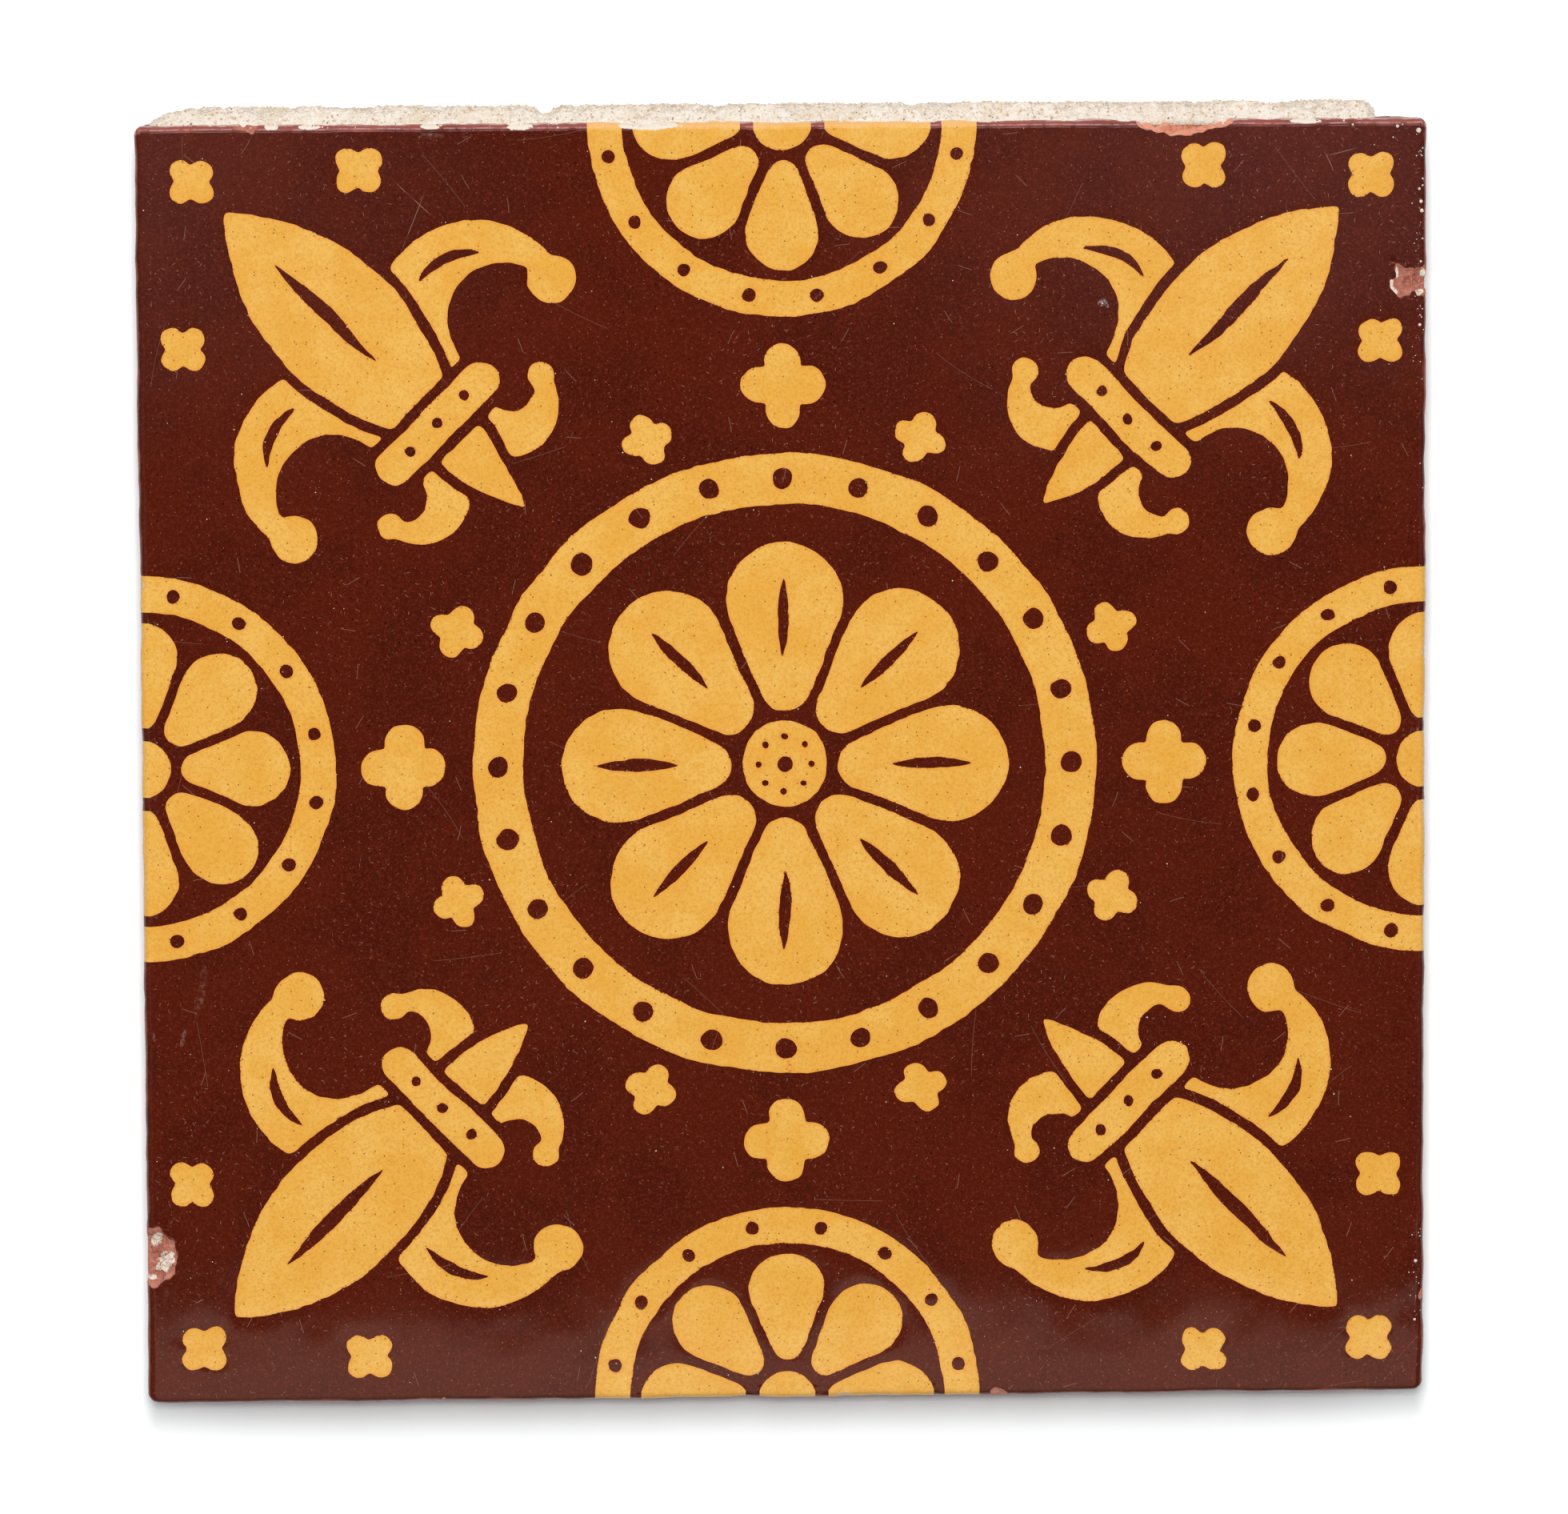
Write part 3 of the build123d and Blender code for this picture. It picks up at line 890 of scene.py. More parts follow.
# %% [markdown]
# ## Lumps, holes and torn ends
#
# The front stands off the side by a height that is a product of simple rules. It thins out
# towards its edges and its ends, over a longer stretch in the west. A knock left one notch
# in it, and noise of several sizes gives lumps and small holes. The two ends are torn: there
# the front dives into the clay along a ragged line.

# %% Relief of the crust
notch_at, notch_width, notch_share = -27.7, 1.5, 0.46
hole_share = 0.22
thinnest, thickest = 0.03, 1.25
end_sunk, end_tear, tear_width = 0.65, 1.05, 0.5
height = smooth_step(-0.5, 1.5, from_top) * smooth_step(-0.3, 2.6, from_hem)
height *= 1 - np.clip(1 - (from_west + 1.0) / 9.5, 0, 1) ** 3
notch = np.exp(-(((across - notch_at) / notch_width) ** 2))
height *= 1 - notch_share * np.repeat(notch, len(shares))
height *= 1 - np.clip(1 - (from_east + 0.1) / 2.4, 0, 1) ** 2
lumps = 1 + 0.13 * smooth_noise(flat, 9, 85) + 0.1 * smooth_noise(flat, 2.6, 86)
lumps += 0.05 * smooth_noise(flat, 0.9, 87)
holes = smooth_step(1.35, 2.2, smooth_noise(flat, 2.2, 88))
holes += smooth_step(1.5, 2.4, smooth_noise(flat, 0.8, 89))
height = crust_height * height * (lumps - hole_share * holes)
height = np.clip(height, thinnest, thickest * crust_height)
for seed, from_end in ((90, from_west), (92, from_east)):
    down = flat[:, 1:]
    tear = end_tear + 0.45 * smooth_noise(down, 6, seed) + 0.16 * smooth_noise(down, 1.8, seed + 1)
    tear = np.maximum(tear, tear_width)
    dive = smooth_step(tear, tear - tear_width, from_end)
    height = height * (1 - dive) - end_sunk * dive
print("it stands up to", round(height.max(), 2), "mm off the side")

# %% Mesh of the crust
crust_sunk = 0.7


def on_side(flat, height):
    """Points on the mortared side, from their place across and down it and their height off it."""
    offset = np.outer(flat[:, 1], down_side) + np.outer(height, off_side)
    offset[:, 0] = flat[:, 0]
    return side_origin + offset


front = on_side(flat, height)
sunk = np.full(crust_columns, -crust_sunk)
back_top = on_side(np.column_stack([across, top_line]), sunk)
back_hem = on_side(np.column_stack([across, hem_line]), sunk)
count = len(shares)
top_start = crust_columns * count
hem_start = top_start + crust_columns
crust_faces = []
for column in range(crust_columns - 1):
    left, right = column * count, (column + 1) * count
    for row in range(count - 1):
        crust_faces.append((left + row, left + row + 1, right + row + 1, right + row))
    crust_faces.append((left, right, top_start + column + 1, top_start + column))
    top_id, hem_id = top_start + column, hem_start + column
    crust_faces.append((right + count - 1, left + count - 1, hem_id, hem_id + 1))
    crust_faces.append((top_id, top_id + 1, hem_id + 1, hem_id))
crust_faces.append([*range(count - 1, -1, -1), top_start, hem_start])
last = (crust_columns - 1) * count
crust_faces.append([*range(last, last + count), hem_start + crust_columns - 1, hem_start - 1])
crust_mesh = bpy.data.meshes.new("mortar_crust")
crust_mesh.from_pydata((np.vstack([front, back_top, back_hem]) * millimetre).tolist(), [], crust_faces)
fix = bmesh.new()
fix.from_mesh(crust_mesh)
bmesh.ops.recalc_face_normals(fix, faces=fix.faces)
fix.to_mesh(crust_mesh)
fix.free()
crust_mesh.shade_smooth()
mortar_crust = new_piece("mortar_crust", crust_mesh)
print("crust", len(crust_faces), "faces,", open_edges(crust_mesh), "open edges")

# %% [markdown]
# ## Writing shader maths as sums
#
# The finishes need a lot of arithmetic on sockets, and a Math node for each sign is hard to
# read. A small class wraps a socket so that Python's own operators add the nodes. Another
# holds a tree and adds any node by its type, its settings and its inputs.


# %% Values and graphs
class Value:
    """A socket of a node tree, on which Python's operators add Math nodes."""

    def __init__(self, graph, socket):
        self.graph = graph
        self.socket = socket

    def maths(self, operation, *numbers):
        return self.graph.node("Math", dict(enumerate(numbers)), operation=operation)

    def __add__(self, other):
        return self.maths("ADD", self, other)

    def __radd__(self, other):
        return self.maths("ADD", other, self)

    def __sub__(self, other):
        return self.maths("SUBTRACT", self, other)

    def __rsub__(self, other):
        return self.maths("SUBTRACT", other, self)

    def __mul__(self, other):
        return self.maths("MULTIPLY", self, other)

    def __rmul__(self, other):
        return self.maths("MULTIPLY", other, self)

    def __truediv__(self, other):
        return self.maths("DIVIDE", self, other)

    def __abs__(self):
        return self.maths("ABSOLUTE", self)

    def __lt__(self, other):
        return self.maths("LESS_THAN", self, other)

    def larger(self, other):
        return self.maths("MAXIMUM", self, other)

    def ramp(self, low, high):
        """0 at low, 1 at high and a soft step between; it may also run downwards."""
        inputs = {"Value": self, "From Min": low, "From Max": high}
        return self.graph.node("MapRange", inputs, interpolation_type="SMOOTHSTEP")


class Graph:
    """A node tree, with one method that adds any node."""

    family = ""

    def __init__(self, tree):
        self.tree = tree
        self.tree.nodes.clear()

    def node(self, kind, inputs=None, output=0, **settings):
        """A node of this kind: its settings are made first, then its inputs. Gives one of its outputs."""
        node = self.tree.nodes.new(self.family + kind)
        for name, setting in settings.items():
            setattr(node, name, setting)
        for name, value in (inputs or {}).items():
            socket = node.inputs[name]
            if isinstance(value, Value):
                self.tree.links.new(value.socket, socket)
            elif isinstance(value, tuple) and socket.type == "RGBA":
                socket.default_value = (*value, 1)
            else:
                socket.default_value = value
        return Value(self, node.outputs[output]) if node.outputs else None


print("sums of sockets are ready")

# %% [markdown]
# ## Patterns that the finishes share
#
# Old ceramics are covered in small irregular marks, and four patterns make nearly all of
# them. Clouds are plain noise. Specks and strokes sit in the cells of a Voronoi pattern,
# which gives each cell a middle and three random numbers of its own. A smear is a soft oval
# at one known place. Every size is in millimetres.

# %% Shader patterns
# An oval is so tall that only the plan of a place counts
any_height = 1e6


class Shader(Graph):
    """The nodes of a material or a world, with the patterns that several finishes use."""

    family = "ShaderNode"

    def place(self):
        """Object coordinates in millimetres."""
        metres = self.node("TexCoord", output="Object")
        return self.node("VectorMath", {0: metres, "Scale": 1 / millimetre}, operation="SCALE")

    def part_of(self, vector):
        return [self.node("SeparateXYZ", {0: vector}, output=axis) for axis in range(3)]

    def attribute(self, name):
        return self.node("Attribute", output="Fac", attribute_name=name)

    def noise(self, vector, size, detail=2.0, roughness=0.5):
        """Clouds about this many millimetres across, near 0.5."""
        inputs = {"Vector": vector, "Scale": 1 / size, "Detail": detail, "Roughness": roughness}
        return self.node("TexNoise", inputs)

    def cells(self, vector, spacing, dimensions, output):
        """A random pattern of cells: one of its outputs, and three random numbers for each cell."""
        inputs = {"Vector": vector, "Scale": 1 / spacing}
        pattern = self.node("TexVoronoi", inputs, output=output, voronoi_dimensions=dimensions)
        return pattern, self.part_of(Value(self, pattern.socket.node.outputs["Color"]))

    def specks(self, vector, spacing, size, share, dimensions="3D"):
        """Round specks of this radius in a share of the cells; two dimensions suit the flat face."""
        distance, lots = self.cells(vector, spacing, dimensions, "Distance")
        return distance.ramp(size / spacing, 0.6 * size / spacing) * (lots[0] < share)

    def strokes(self, vector, spacing, length, width, bow, share):
        """Thin bowed marks on the flat face, each turned its own way, in a share of the cells."""
        middle, lots = self.cells(vector, spacing, "2D", "Position")
        offset = self.node("VectorMath", {0: vector, 1: middle}, operation="SUBTRACT")
        turned = {"Vector": offset, "Angle": lots[1] * (2 * pi)}
        along, across, _ = self.part_of(self.node("VectorRotate", turned, rotation_type="Z_AXIS"))
        across = across + along * along * (lots[2] - 0.5) * bow
        return (abs(along) < length / 2) * abs(across).ramp(width, 0.4 * width) * (lots[0] < share)

    def smear(self, vector, x, y, length, width, turn):
        """A soft oval of this length and width about one place, turned by some degrees."""
        oval = {
            "Vector": vector,
            "Location": (x, y, 0),
            "Rotation": (0, 0, radians(turn)),
            "Scale": (length / 2, width / 2, any_height),
        }
        inside = self.node("Mapping", oval, vector_type="TEXTURE")
        squared = self.node("VectorMath", {0: inside, 1: inside}, output="Value", operation="DOT_PRODUCT")
        return squared.ramp(1, 0.3)

    def smears(self, vector, places):
        """All the ovals of a list."""
        ovals = [self.smear(vector, *place) for place in places]
        total = ovals[0]
        for oval in ovals[1:]:
            total = total.larger(oval)
        return total

    def mix(self, factor, first, second):
        """The first colour where the factor is 0, and the second where it is 1."""
        inputs = {0: factor, 6: first, 7: second}
        return self.node("Mix", inputs, output=2, data_type="RGBA", clamp_factor=True)

    def bump(self, height):
        """A normal that is bent by a height in millimetres."""
        return self.node("Bump", {"Height": height, "Strength": 1.0, "Distance": millimetre})

    def surface(self, colour, roughness, normal, **constants):
        """The surface that ends a material."""
        inputs = {"Base Color": colour, "Roughness": roughness, "Normal": normal, **constants}
        self.node("OutputMaterial", {"Surface": self.node("BsdfPrincipled", inputs)})


def new_material(name):
    material = bpy.data.materials.new(name)
    material.use_nodes = True
    return material, Shader(material.node_tree)


print("patterns are ready")

# %% [markdown]
# ## Where the glaze is whole
#
# Both clays lie under one coat of glaze, so both finishes ask the same questions of a place.
# How far is it from the rim of the face? The glaze runs two or three millimetres down the
# sides, and below that the clay is bare. Is it in a flake, or does lime cover it? The
# attributes of the points answer that. And how thin is the glaze rubbed? It is thinnest on
# the arris, above all on the mortared side.

# %% Zones of both clays
glaze_reach = 3.2
glaze_run = 3.0
glaze_gloss = 0.035
worn_roughness = 0.2
clay_roughness = 0.85
face_margin = 0.2


def glaze_and_clay(shader, place):
    """The distance past the rim; where clay is bare and broken; crumbs, and lime on the breaks."""
    x, y, z = shader.part_of(place)
    rim = abs(x).larger(abs(y)) - row_limit
    depth = thickness - z
    run = (shader.noise(place, 9, 1) - 0.5) * glaze_run
    bare = (depth + run).ramp(glaze_reach - 0.3, glaze_reach + 0.3)
    flaked = shader.attribute("broken").ramp(-0.09, -0.03)
    crumbs = shader.noise(place, 0.7, 3, 0.7)
    lime = (crumbs + shader.attribute("lime") * 0.5).ramp(0.86, 0.96) * flaked
    return rim, bare, flaked, crumbs, lime


def worn_glaze(shader, place, rim):
    """How far the glaze is rubbed off, and where the mortared side is."""
    mortared = shader.part_of(place)[1].ramp(row_limit - 0.4, row_limit + 0.1)
    return (shader.noise(place, 3, 2) + rim * 0.9 + mortared * 0.5).ramp(0.95, 1.5), mortared


def scratches(shader, place, rim):
    """Short nicks in loose crowds on the glaze, and a few longer thin scratches."""
    crowd = shader.noise(place, 17, 1).ramp(0.38, 0.62)
    nicks = shader.strokes(place, 1.5, 0.4, 0.045, 0.5, 0.4) * crowd
    dashes = shader.strokes(place, 6.5, 1.8, 0.045, 0.1, 0.35)
    arcs = shader.strokes(place, 15, 8, 0.03, 0.03, 0.5)
    return nicks.larger(dashes * 0.8).larger(arcs * 0.6) * (rim < face_margin)


print("the glaze ends about", glaze_reach, "mm down the sides")

# %% [markdown]
# ## Marks at known places
#
# A tile is told from its neighbours by a few marks. Each is an oval with its place, its
# length, its width and its turn in degrees. Rubbed places and bruises are broad, and a long
# scratch is an oval as thin as a hair. Lime that spilled over the mortared arris, or that
# clings to the large breaks, has crumbling edges, because its oval only lifts the clouds
# that make the crumbs until they pass a threshold.

# %% Lists of ovals
rubbed_places = [
    (-69.5, -26.6, 7.0, 1.3, 80),
    (-71.6, -32.2, 2.6, 0.7, 75),
    (-75.1, -32.3, 2.2, 0.4, 90),
    (-41.4, 74.7, 3.6, 1.0, 0),
    (-37.4, 74.8, 2.3, 0.7, 0),
]
long_scratches = [
    (37.5, 57.0, 4.2, 0.16, -23),
    (66.1, 72.2, 4.4, 0.14, 14),
    (64.6, 71.2, 3.2, 0.14, -65),
    (59.6, 65.0, 3.4, 0.12, 94),
    (-43.4, 67.3, 7.0, 0.14, -43),
    (-43.6, 64.5, 9.0, 0.12, 68),
    (-53.7, 44.9, 11.0, 0.10, 0),
    (15.0, 63.6, 13.0, 0.10, -1),
    (-58.2, -61.5, 12.0, 0.12, -24),
    (-12.6, 64.6, 2.8, 0.12, 0),
    (-71.0, -63.7, 1.8, 0.22, -17),
    (-70.2, -63.9, 1.7, 0.16, 30),
    (-72.8, -53.9, 1.3, 0.18, -29),
    (-70.7, -58.5, 0.9, 0.2, 35),
]
bruises = [
    (37.8, 54.6, 1.3, 1.0, 20),
    (38.3, 54.3, 0.9, 0.5, -60),
]
lime_on_breaks = [
    (-74.0, -59.0, 4.2, 2.5, 57),
    (-75.0, -56.4, 2.6, 1.7, 65),
    (-75.6, -60.9, 1.4, 0.9, 0),
    (72.65, 58.0, 1.8, 0.6, 90),
    (72.05, 56.9, 2.0, 0.6, 90),
    (72.35, 55.8, 1.7, 0.6, -53),
    (75.8, 57.8, 1.3, 0.9, 80),
    (75.3, 55.5, 1.7, 0.9, 20),
]
lime_on_arris = [
    (-60.1, 75.9, 2.2, 0.9, 0),
    (-55.7, 75.9, 3.2, 0.8, 0),
    (-41.4, 75.9, 3.4, 0.9, 0),
    (-30.9, 75.8, 4.0, 1.1, 0),
    (-15.6, 75.8, 9.5, 1.2, 1),
    (62.0, 75.9, 5.0, 0.8, 0),
]
crumb_lift = 0.42


def crumbling(shader, place, crumbs, ovals, threshold):
    """Lime in these ovals that breaks up into crumbs at its edges."""
    return (shader.smears(place, ovals) * crumb_lift + crumbs).ramp(threshold, threshold + 0.06)


print(len(rubbed_places + long_scratches + bruises), "marks on the glaze")
print(len(lime_on_breaks + lime_on_arris), "ovals of lime")

# %% [markdown]
# ## Red clay under a honey glaze
#
# The block has one material, because it was one lump of clay, and its zones are laid over
# each other by their masks. The first is the ground of the pattern: through the glaze the
# red clay looks a deep liver brown, cloudy and grainy, with specks of soot, sand and ochre.

# %% Brown ground
ground_brown = (0.0800, 0.0093, 0.0031)
ground_dark = (0.0645, 0.0077, 0.0031)
ground_grain = (0.1340, 0.0200, 0.0090)
soot_speck = (0.017, 0.0035, 0.0025)
pink_speck = (0.36, 0.13, 0.09)
ochre_speck = (0.30, 0.095, 0.03)

red_material, red = new_material("red_clay_glazed")
place = red.place()
rim, bare, flaked, crumbs, lime = glaze_and_clay(red, place)
on_face = rim < face_margin
grain = red.noise(place, 0.3, 3, 0.75)
clouds = red.noise(place, 11, 3)
colour = red.mix(clouds.ramp(0.40, 0.62), ground_brown, ground_dark)
colour = red.mix(grain.ramp(0.44, 0.72), colour, ground_grain)
colour = red.mix(red.specks(place, 1.9, 0.13, 0.2, "2D") * on_face, colour, soot_speck)
colour = red.mix(red.specks(place, 1.1, 0.07, 0.4, "2D") * on_face * 0.8, colour, pink_speck)
colour = red.mix(red.specks(place, 3.1, 0.12, 0.25, "2D") * on_face * 0.7, colour, ochre_speck)
print(len(red.tree.nodes), "nodes in the ground")

# %% [markdown]
# ## The arris and what happened to it
#
# Where the roll of the arris is rubbed, the glaze is thin and pinker. On the mortared side
# two pale lines along the roll are painted highlights, and a film of lime covers its foot.
# Then come the marks: scratches and rubbed places go grey, because broken glaze scatters
# light, and are rougher too. A bruise is a cooler grey, from the grit that was driven into it.

# %% Wear and marks
arris_pink = (0.320, 0.080, 0.058)
highlight_pink = (0.56, 0.27, 0.26)
lime_film = (0.66, 0.50, 0.46)
rubbed_grey = (0.46, 0.27, 0.21)
bruise_grey = (0.42, 0.36, 0.34)

worn, mortared = worn_glaze(red, place, rim)
colour = red.mix(worn * 0.9, colour, arris_pink)
# Painted highlight: two thin pale lines along the roll on the mortared side stand in for light mirrored
# in the glaze
highlight_place = rim + (red.noise(place, 7, 2) - 0.5) * 0.3
outer_highlight = abs(highlight_place - 0.34).ramp(0.15, 0.03) * 0.75
inner_highlight = abs(highlight_place - 0.03).ramp(0.07, 0.0) * 0.4
painted_highlight = (outer_highlight + inner_highlight) * red.noise(place, 1.8, 3, 0.7).ramp(0.36, 0.58) * mortared
colour = red.mix(painted_highlight, colour, highlight_pink)
film = (rim + red.noise(place, 1.4, 2) * 0.5).ramp(0.93, 1.06) * mortared
colour = red.mix(film * 0.75, colour, lime_film)
rubbed = red.smears(place, rubbed_places) * red.noise(place, 1.3, 4, 0.75).ramp(0.42, 0.66)
lines = red.smears(place, long_scratches) * red.noise(place, 2, 1).ramp(0.3, 0.5)
marks = scratches(red, place, rim) * 0.42 + (rubbed * 0.28 + lines * 0.36) * on_face
colour = red.mix(marks, colour, rubbed_grey)
bruised = red.smears(place, bruises) * grain.ramp(0.38, 0.6) * on_face
colour = red.mix(bruised * 0.6, colour, bruise_grey)
print(len(red.tree.nodes), "nodes with the wear")

# %% [markdown]
# ## Bare and broken clay
#
# Below the glaze the sides are a dull orange, cloudy, with dark and pale grains of sand and
# a dust of old mortar. Flakes show the raw clay, from salmon to red, with lime on their
# rims. Lime goes over everything, and the sum of the zones gives how rough each place is.

# %% Bare clay, breaks and lime
bare_clay = (0.33, 0.115, 0.062)
bare_clay_light = (0.43, 0.17, 0.10)
bare_clay_dark = (0.25, 0.075, 0.045)
pale_sand = (0.62, 0.45, 0.32)
mortar_dust = (0.60, 0.47, 0.38)
salmon_clay = (0.73, 0.31, 0.20)
red_clay = (0.36, 0.105, 0.072)
bed_grain = (0.70, 0.35, 0.26)
bed_crumb = (0.66, 0.36, 0.29)
lime_white = (0.80, 0.72, 0.61)
clay_grain_height = 0.1

clay = red.mix(grain.ramp(0.4, 0.66), bare_clay, bare_clay_light)
clay = red.mix(clouds.ramp(0.42, 0.66) * 0.6, clay, bare_clay_dark)
sand_colour = red.mix(grain.ramp(0.5, 0.55), soot_speck, pale_sand)
clay = red.mix(red.specks(place, 1.5, 0.32, 0.3) * 0.9, clay, sand_colour)
dust = (red.noise(place, 12, 4, 0.65) + grain * 0.3).ramp(0.68, 0.8)
clay = red.mix(dust * 0.7, clay, mortar_dust)
bed = red.mix(red.attribute("redness"), salmon_clay, red_clay)
bed = red.mix(grain.ramp(0.36, 0.7) * 0.35, bed, bed_grain)
bed = red.mix(crumbs.ramp(0.52, 0.66) * 0.45, bed, bed_crumb)
colour = red.mix(bare, colour, clay)
colour = red.mix(flaked, colour, bed)
lips = crumbling(red, place, crumbs, lime_on_arris, 0.74)
patch = crumbling(red, place, crumbs, lime_on_breaks, 0.80) * flaked
patch = patch * (1 - red.specks(place, 0.45, 0.13, 0.3) * 0.6)
colour = red.mix(lime.larger(patch).larger(lips), colour, lime_white)
rough_clay = bare.larger(flaked)
rough = rough_clay.larger(lips) * clay_roughness + glaze_gloss + worn * worn_roughness
rough = rough + film * 0.4 + marks * 0.5 + painted_highlight * 0.3
red.surface(colour, rough, red.bump(grain * rough_clay * clay_grain_height), IOR=1.5)
print(len(red.tree.nodes), "nodes in the red clay")

# %% [markdown]
# ## Buff clay
#
# The inlay is a fine white-burning clay that the glaze stains honey yellow. It is cloudy
# where the slip was thicker or thinner, peppered with iron, and a little more orange along
# its outline, where the two clays bled into each other in the kiln.

# %% Buff clay
honey = (0.808, 0.410, 0.066)
pale_honey = (0.845, 0.480, 0.106)
deep_honey = (0.69, 0.303, 0.037)
bleed_orange = (0.80, 0.30, 0.045)
iron_speck = (0.20, 0.055, 0.012)
worn_honey = (0.86, 0.50, 0.24)
scratched_honey = (0.93, 0.72, 0.4)
raw_buff = (0.80, 0.58, 0.34)
raw_buff_dark = (0.62, 0.42, 0.24)
buff_grain_height = 0.08

buff_material, buff = new_material("buff_clay_glazed")
place = buff.place()
rim, bare, flaked, crumbs, lime = glaze_and_clay(buff, place)
on_face = rim < face_margin
clouds = buff.noise(place, 6, 4, 0.65)
grain = buff.noise(place, 0.34, 3, 0.7)
colour = buff.mix(clouds.ramp(0.36, 0.66), honey, pale_honey)
colour = buff.mix(grain.ramp(0.42, 0.70) * 0.7, colour, deep_honey)
from_line = buff.attribute("from_line")
colour = buff.mix(from_line.ramp(0.45, 0.02) * 0.5, colour, bleed_orange)
nibs = ((grain - 0.5) * 0.9 - from_line).ramp(0, 0.05) * clouds.ramp(0.44, 0.56) * on_face
colour = buff.mix(nibs * 0.85, colour, ground_brown)
iron = buff.specks(place, 1.2, 0.11, 0.24, "2D").larger(buff.specks(place, 0.6, 0.08, 0.2, "2D") * 0.35)
colour = buff.mix(iron * on_face * 0.8, colour, iron_speck)
worn, _ = worn_glaze(buff, place, rim)
colour = buff.mix(worn * 0.5, colour, worn_honey)
scratch = scratches(buff, place, rim)
colour = buff.mix(scratch * 0.25, colour, scratched_honey)
rough_clay = bare.larger(flaked)
colour = buff.mix(rough_clay, colour, buff.mix(grain, raw_buff, raw_buff_dark))
lips = crumbling(buff, place, crumbs, lime_on_arris, 0.74)
colour = buff.mix(lime.larger(lips), colour, lime_white)
rough = rough_clay * clay_roughness + glaze_gloss + worn * worn_roughness + scratch * 0.2
buff.surface(colour, rough, buff.bump(grain * rough_clay * buff_grain_height), IOR=1.5)
print(len(buff.tree.nodes), "nodes in the buff clay")

# %% [markdown]
# ## Mortar
#
# Old lime mortar is nearly white, with sharp sand of several browns in it, and it has no
# gloss at all. Clouds give its dirt and its chalk, and a fine mottle with specks of two
# sizes gives the sand. The grains that stand out of it carry a tint of their own.

# %% Mortar finish
mortar_cream = (0.895, 0.81, 0.71)
mortar_dirt = (0.80, 0.67, 0.52)
mortar_chalk = (0.93, 0.885, 0.83)
sand_brown = (0.50, 0.31, 0.17)
sand_grey = (0.22, 0.16, 0.12)
sand_tan = (0.62, 0.43, 0.27)
mortar_roughness = 0.95
mortar_grain_height = 0.22

mortar_material, mortar = new_material("lime_mortar")
place = mortar.place()
grain = mortar.noise(place, 0.5, 4, 0.75)
mottle = mortar.noise(place, 0.42, 3, 0.8)
colour = mortar.mix(mortar.noise(place, 3.2, 4, 0.65).ramp(0.36, 0.7), mortar_cream, mortar_dirt)
colour = mortar.mix(grain.ramp(0.5, 0.64) * 0.9, colour, mortar_chalk)
colour = mortar.mix(mottle.ramp(0.54, 0.66) * 0.8, colour, sand_tan)
fine_sand = mortar.specks(place, 0.5, 0.17, 0.4) * grain.ramp(0.62, 0.42)
colour = mortar.mix(fine_sand * 0.95, colour, sand_brown)
colour = mortar.mix(mortar.specks(place, 0.8, 0.17, 0.12) * 0.9, colour, sand_grey)
colour = mortar.mix(mortar.attribute("sandiness"), colour, sand_tan)
mortar.surface(colour, mortar_roughness, mortar.bump(grain * mortar_grain_height), IOR=1.45)
print(len(mortar.tree.nodes), "nodes in the mortar")

# %% [markdown]
# ## Sand grains and lime flecks
#
# Two things here are small and many. Grains of sand stand out of the mortar, and crumbs of
# lime sit in pinholes of the glaze. Both are one rounded stone, repeated with a size and a
# turn of its own, so both are left to Geometry Nodes. One tree scatters stones over a mesh,
# and the other sets one on each point of a list and reads its size from the point. Each
# tree makes its stones real at the end, because an exported model can't hold instances.

# %% What both trees share
# A stone's tint is a random share raised to this power, so few stones are strongly tinted
tint_rarity = 2.2


def modifier_tree(name, inputs):
    """A Geometry Nodes tree with these inputs, its graph, and each input as a value."""
    tree = bpy.data.node_groups.new(name, "GeometryNodeTree")
    tree.interface.new_socket("Geometry", in_out="INPUT", socket_type="NodeSocketGeometry")
    for input_name, kind in inputs.items():
        tree.interface.new_socket(input_name, in_out="INPUT", socket_type="NodeSocket" + kind)
    tree.interface.new_socket("Geometry", in_out="OUTPUT", socket_type="NodeSocketGeometry")
    graph = Graph(tree)
    entry = graph.node("NodeGroupInput").socket.node
    return tree, graph, {socket.name: Value(graph, socket) for socket in entry.outputs if socket.name}


def lot(graph, low, high, seed):
    """A random number from low to high for each point."""
    return graph.node("FunctionNodeRandomValue", {2: low, 3: high, 8: seed}, output=1, data_type="FLOAT")


def times(graph, first, second):
    return graph.node("ShaderNodeMath", {0: first, 1: second}, operation="MULTIPLY")


def set_stones(graph, points, size, seed, tint_share):
    """A turned stone of this size on each point, made real, with a tint of its own."""
    stone = graph.node("GeometryNodeMeshIcoSphere", {"Radius": 1.0, "Subdivisions": 1})
    turns = {0: (0, 0, 0), 1: (2 * pi, 2 * pi, 2 * pi), 8: seed}
    turn = graph.node("FunctionNodeRandomValue", turns, data_type="FLOAT_VECTOR")
    stones = {"Points": points, "Instance": stone, "Rotation": turn, "Scale": size}
    placed = graph.node("GeometryNodeInstanceOnPoints", stones)
    chance = {0: lot(graph, 0.0, 1.0, seed), 1: tint_rarity}
    rarely = graph.node("ShaderNodeMath", chance, operation="POWER")
    tinted = graph.node(
        "GeometryNodeStoreNamedAttribute",
        {"Geometry": placed, "Name": "sandiness", "Value": times(graph, rarely, tint_share)},
        data_type="FLOAT",
        domain="INSTANCE",
    )
    real = graph.node("GeometryNodeRealizeInstances", {"Geometry": tinted})
    painted = graph.node("GeometryNodeSetMaterial", {"Geometry": real, "Material": mortar_material})
    graph.node("NodeGroupOutput", {"Geometry": painted})


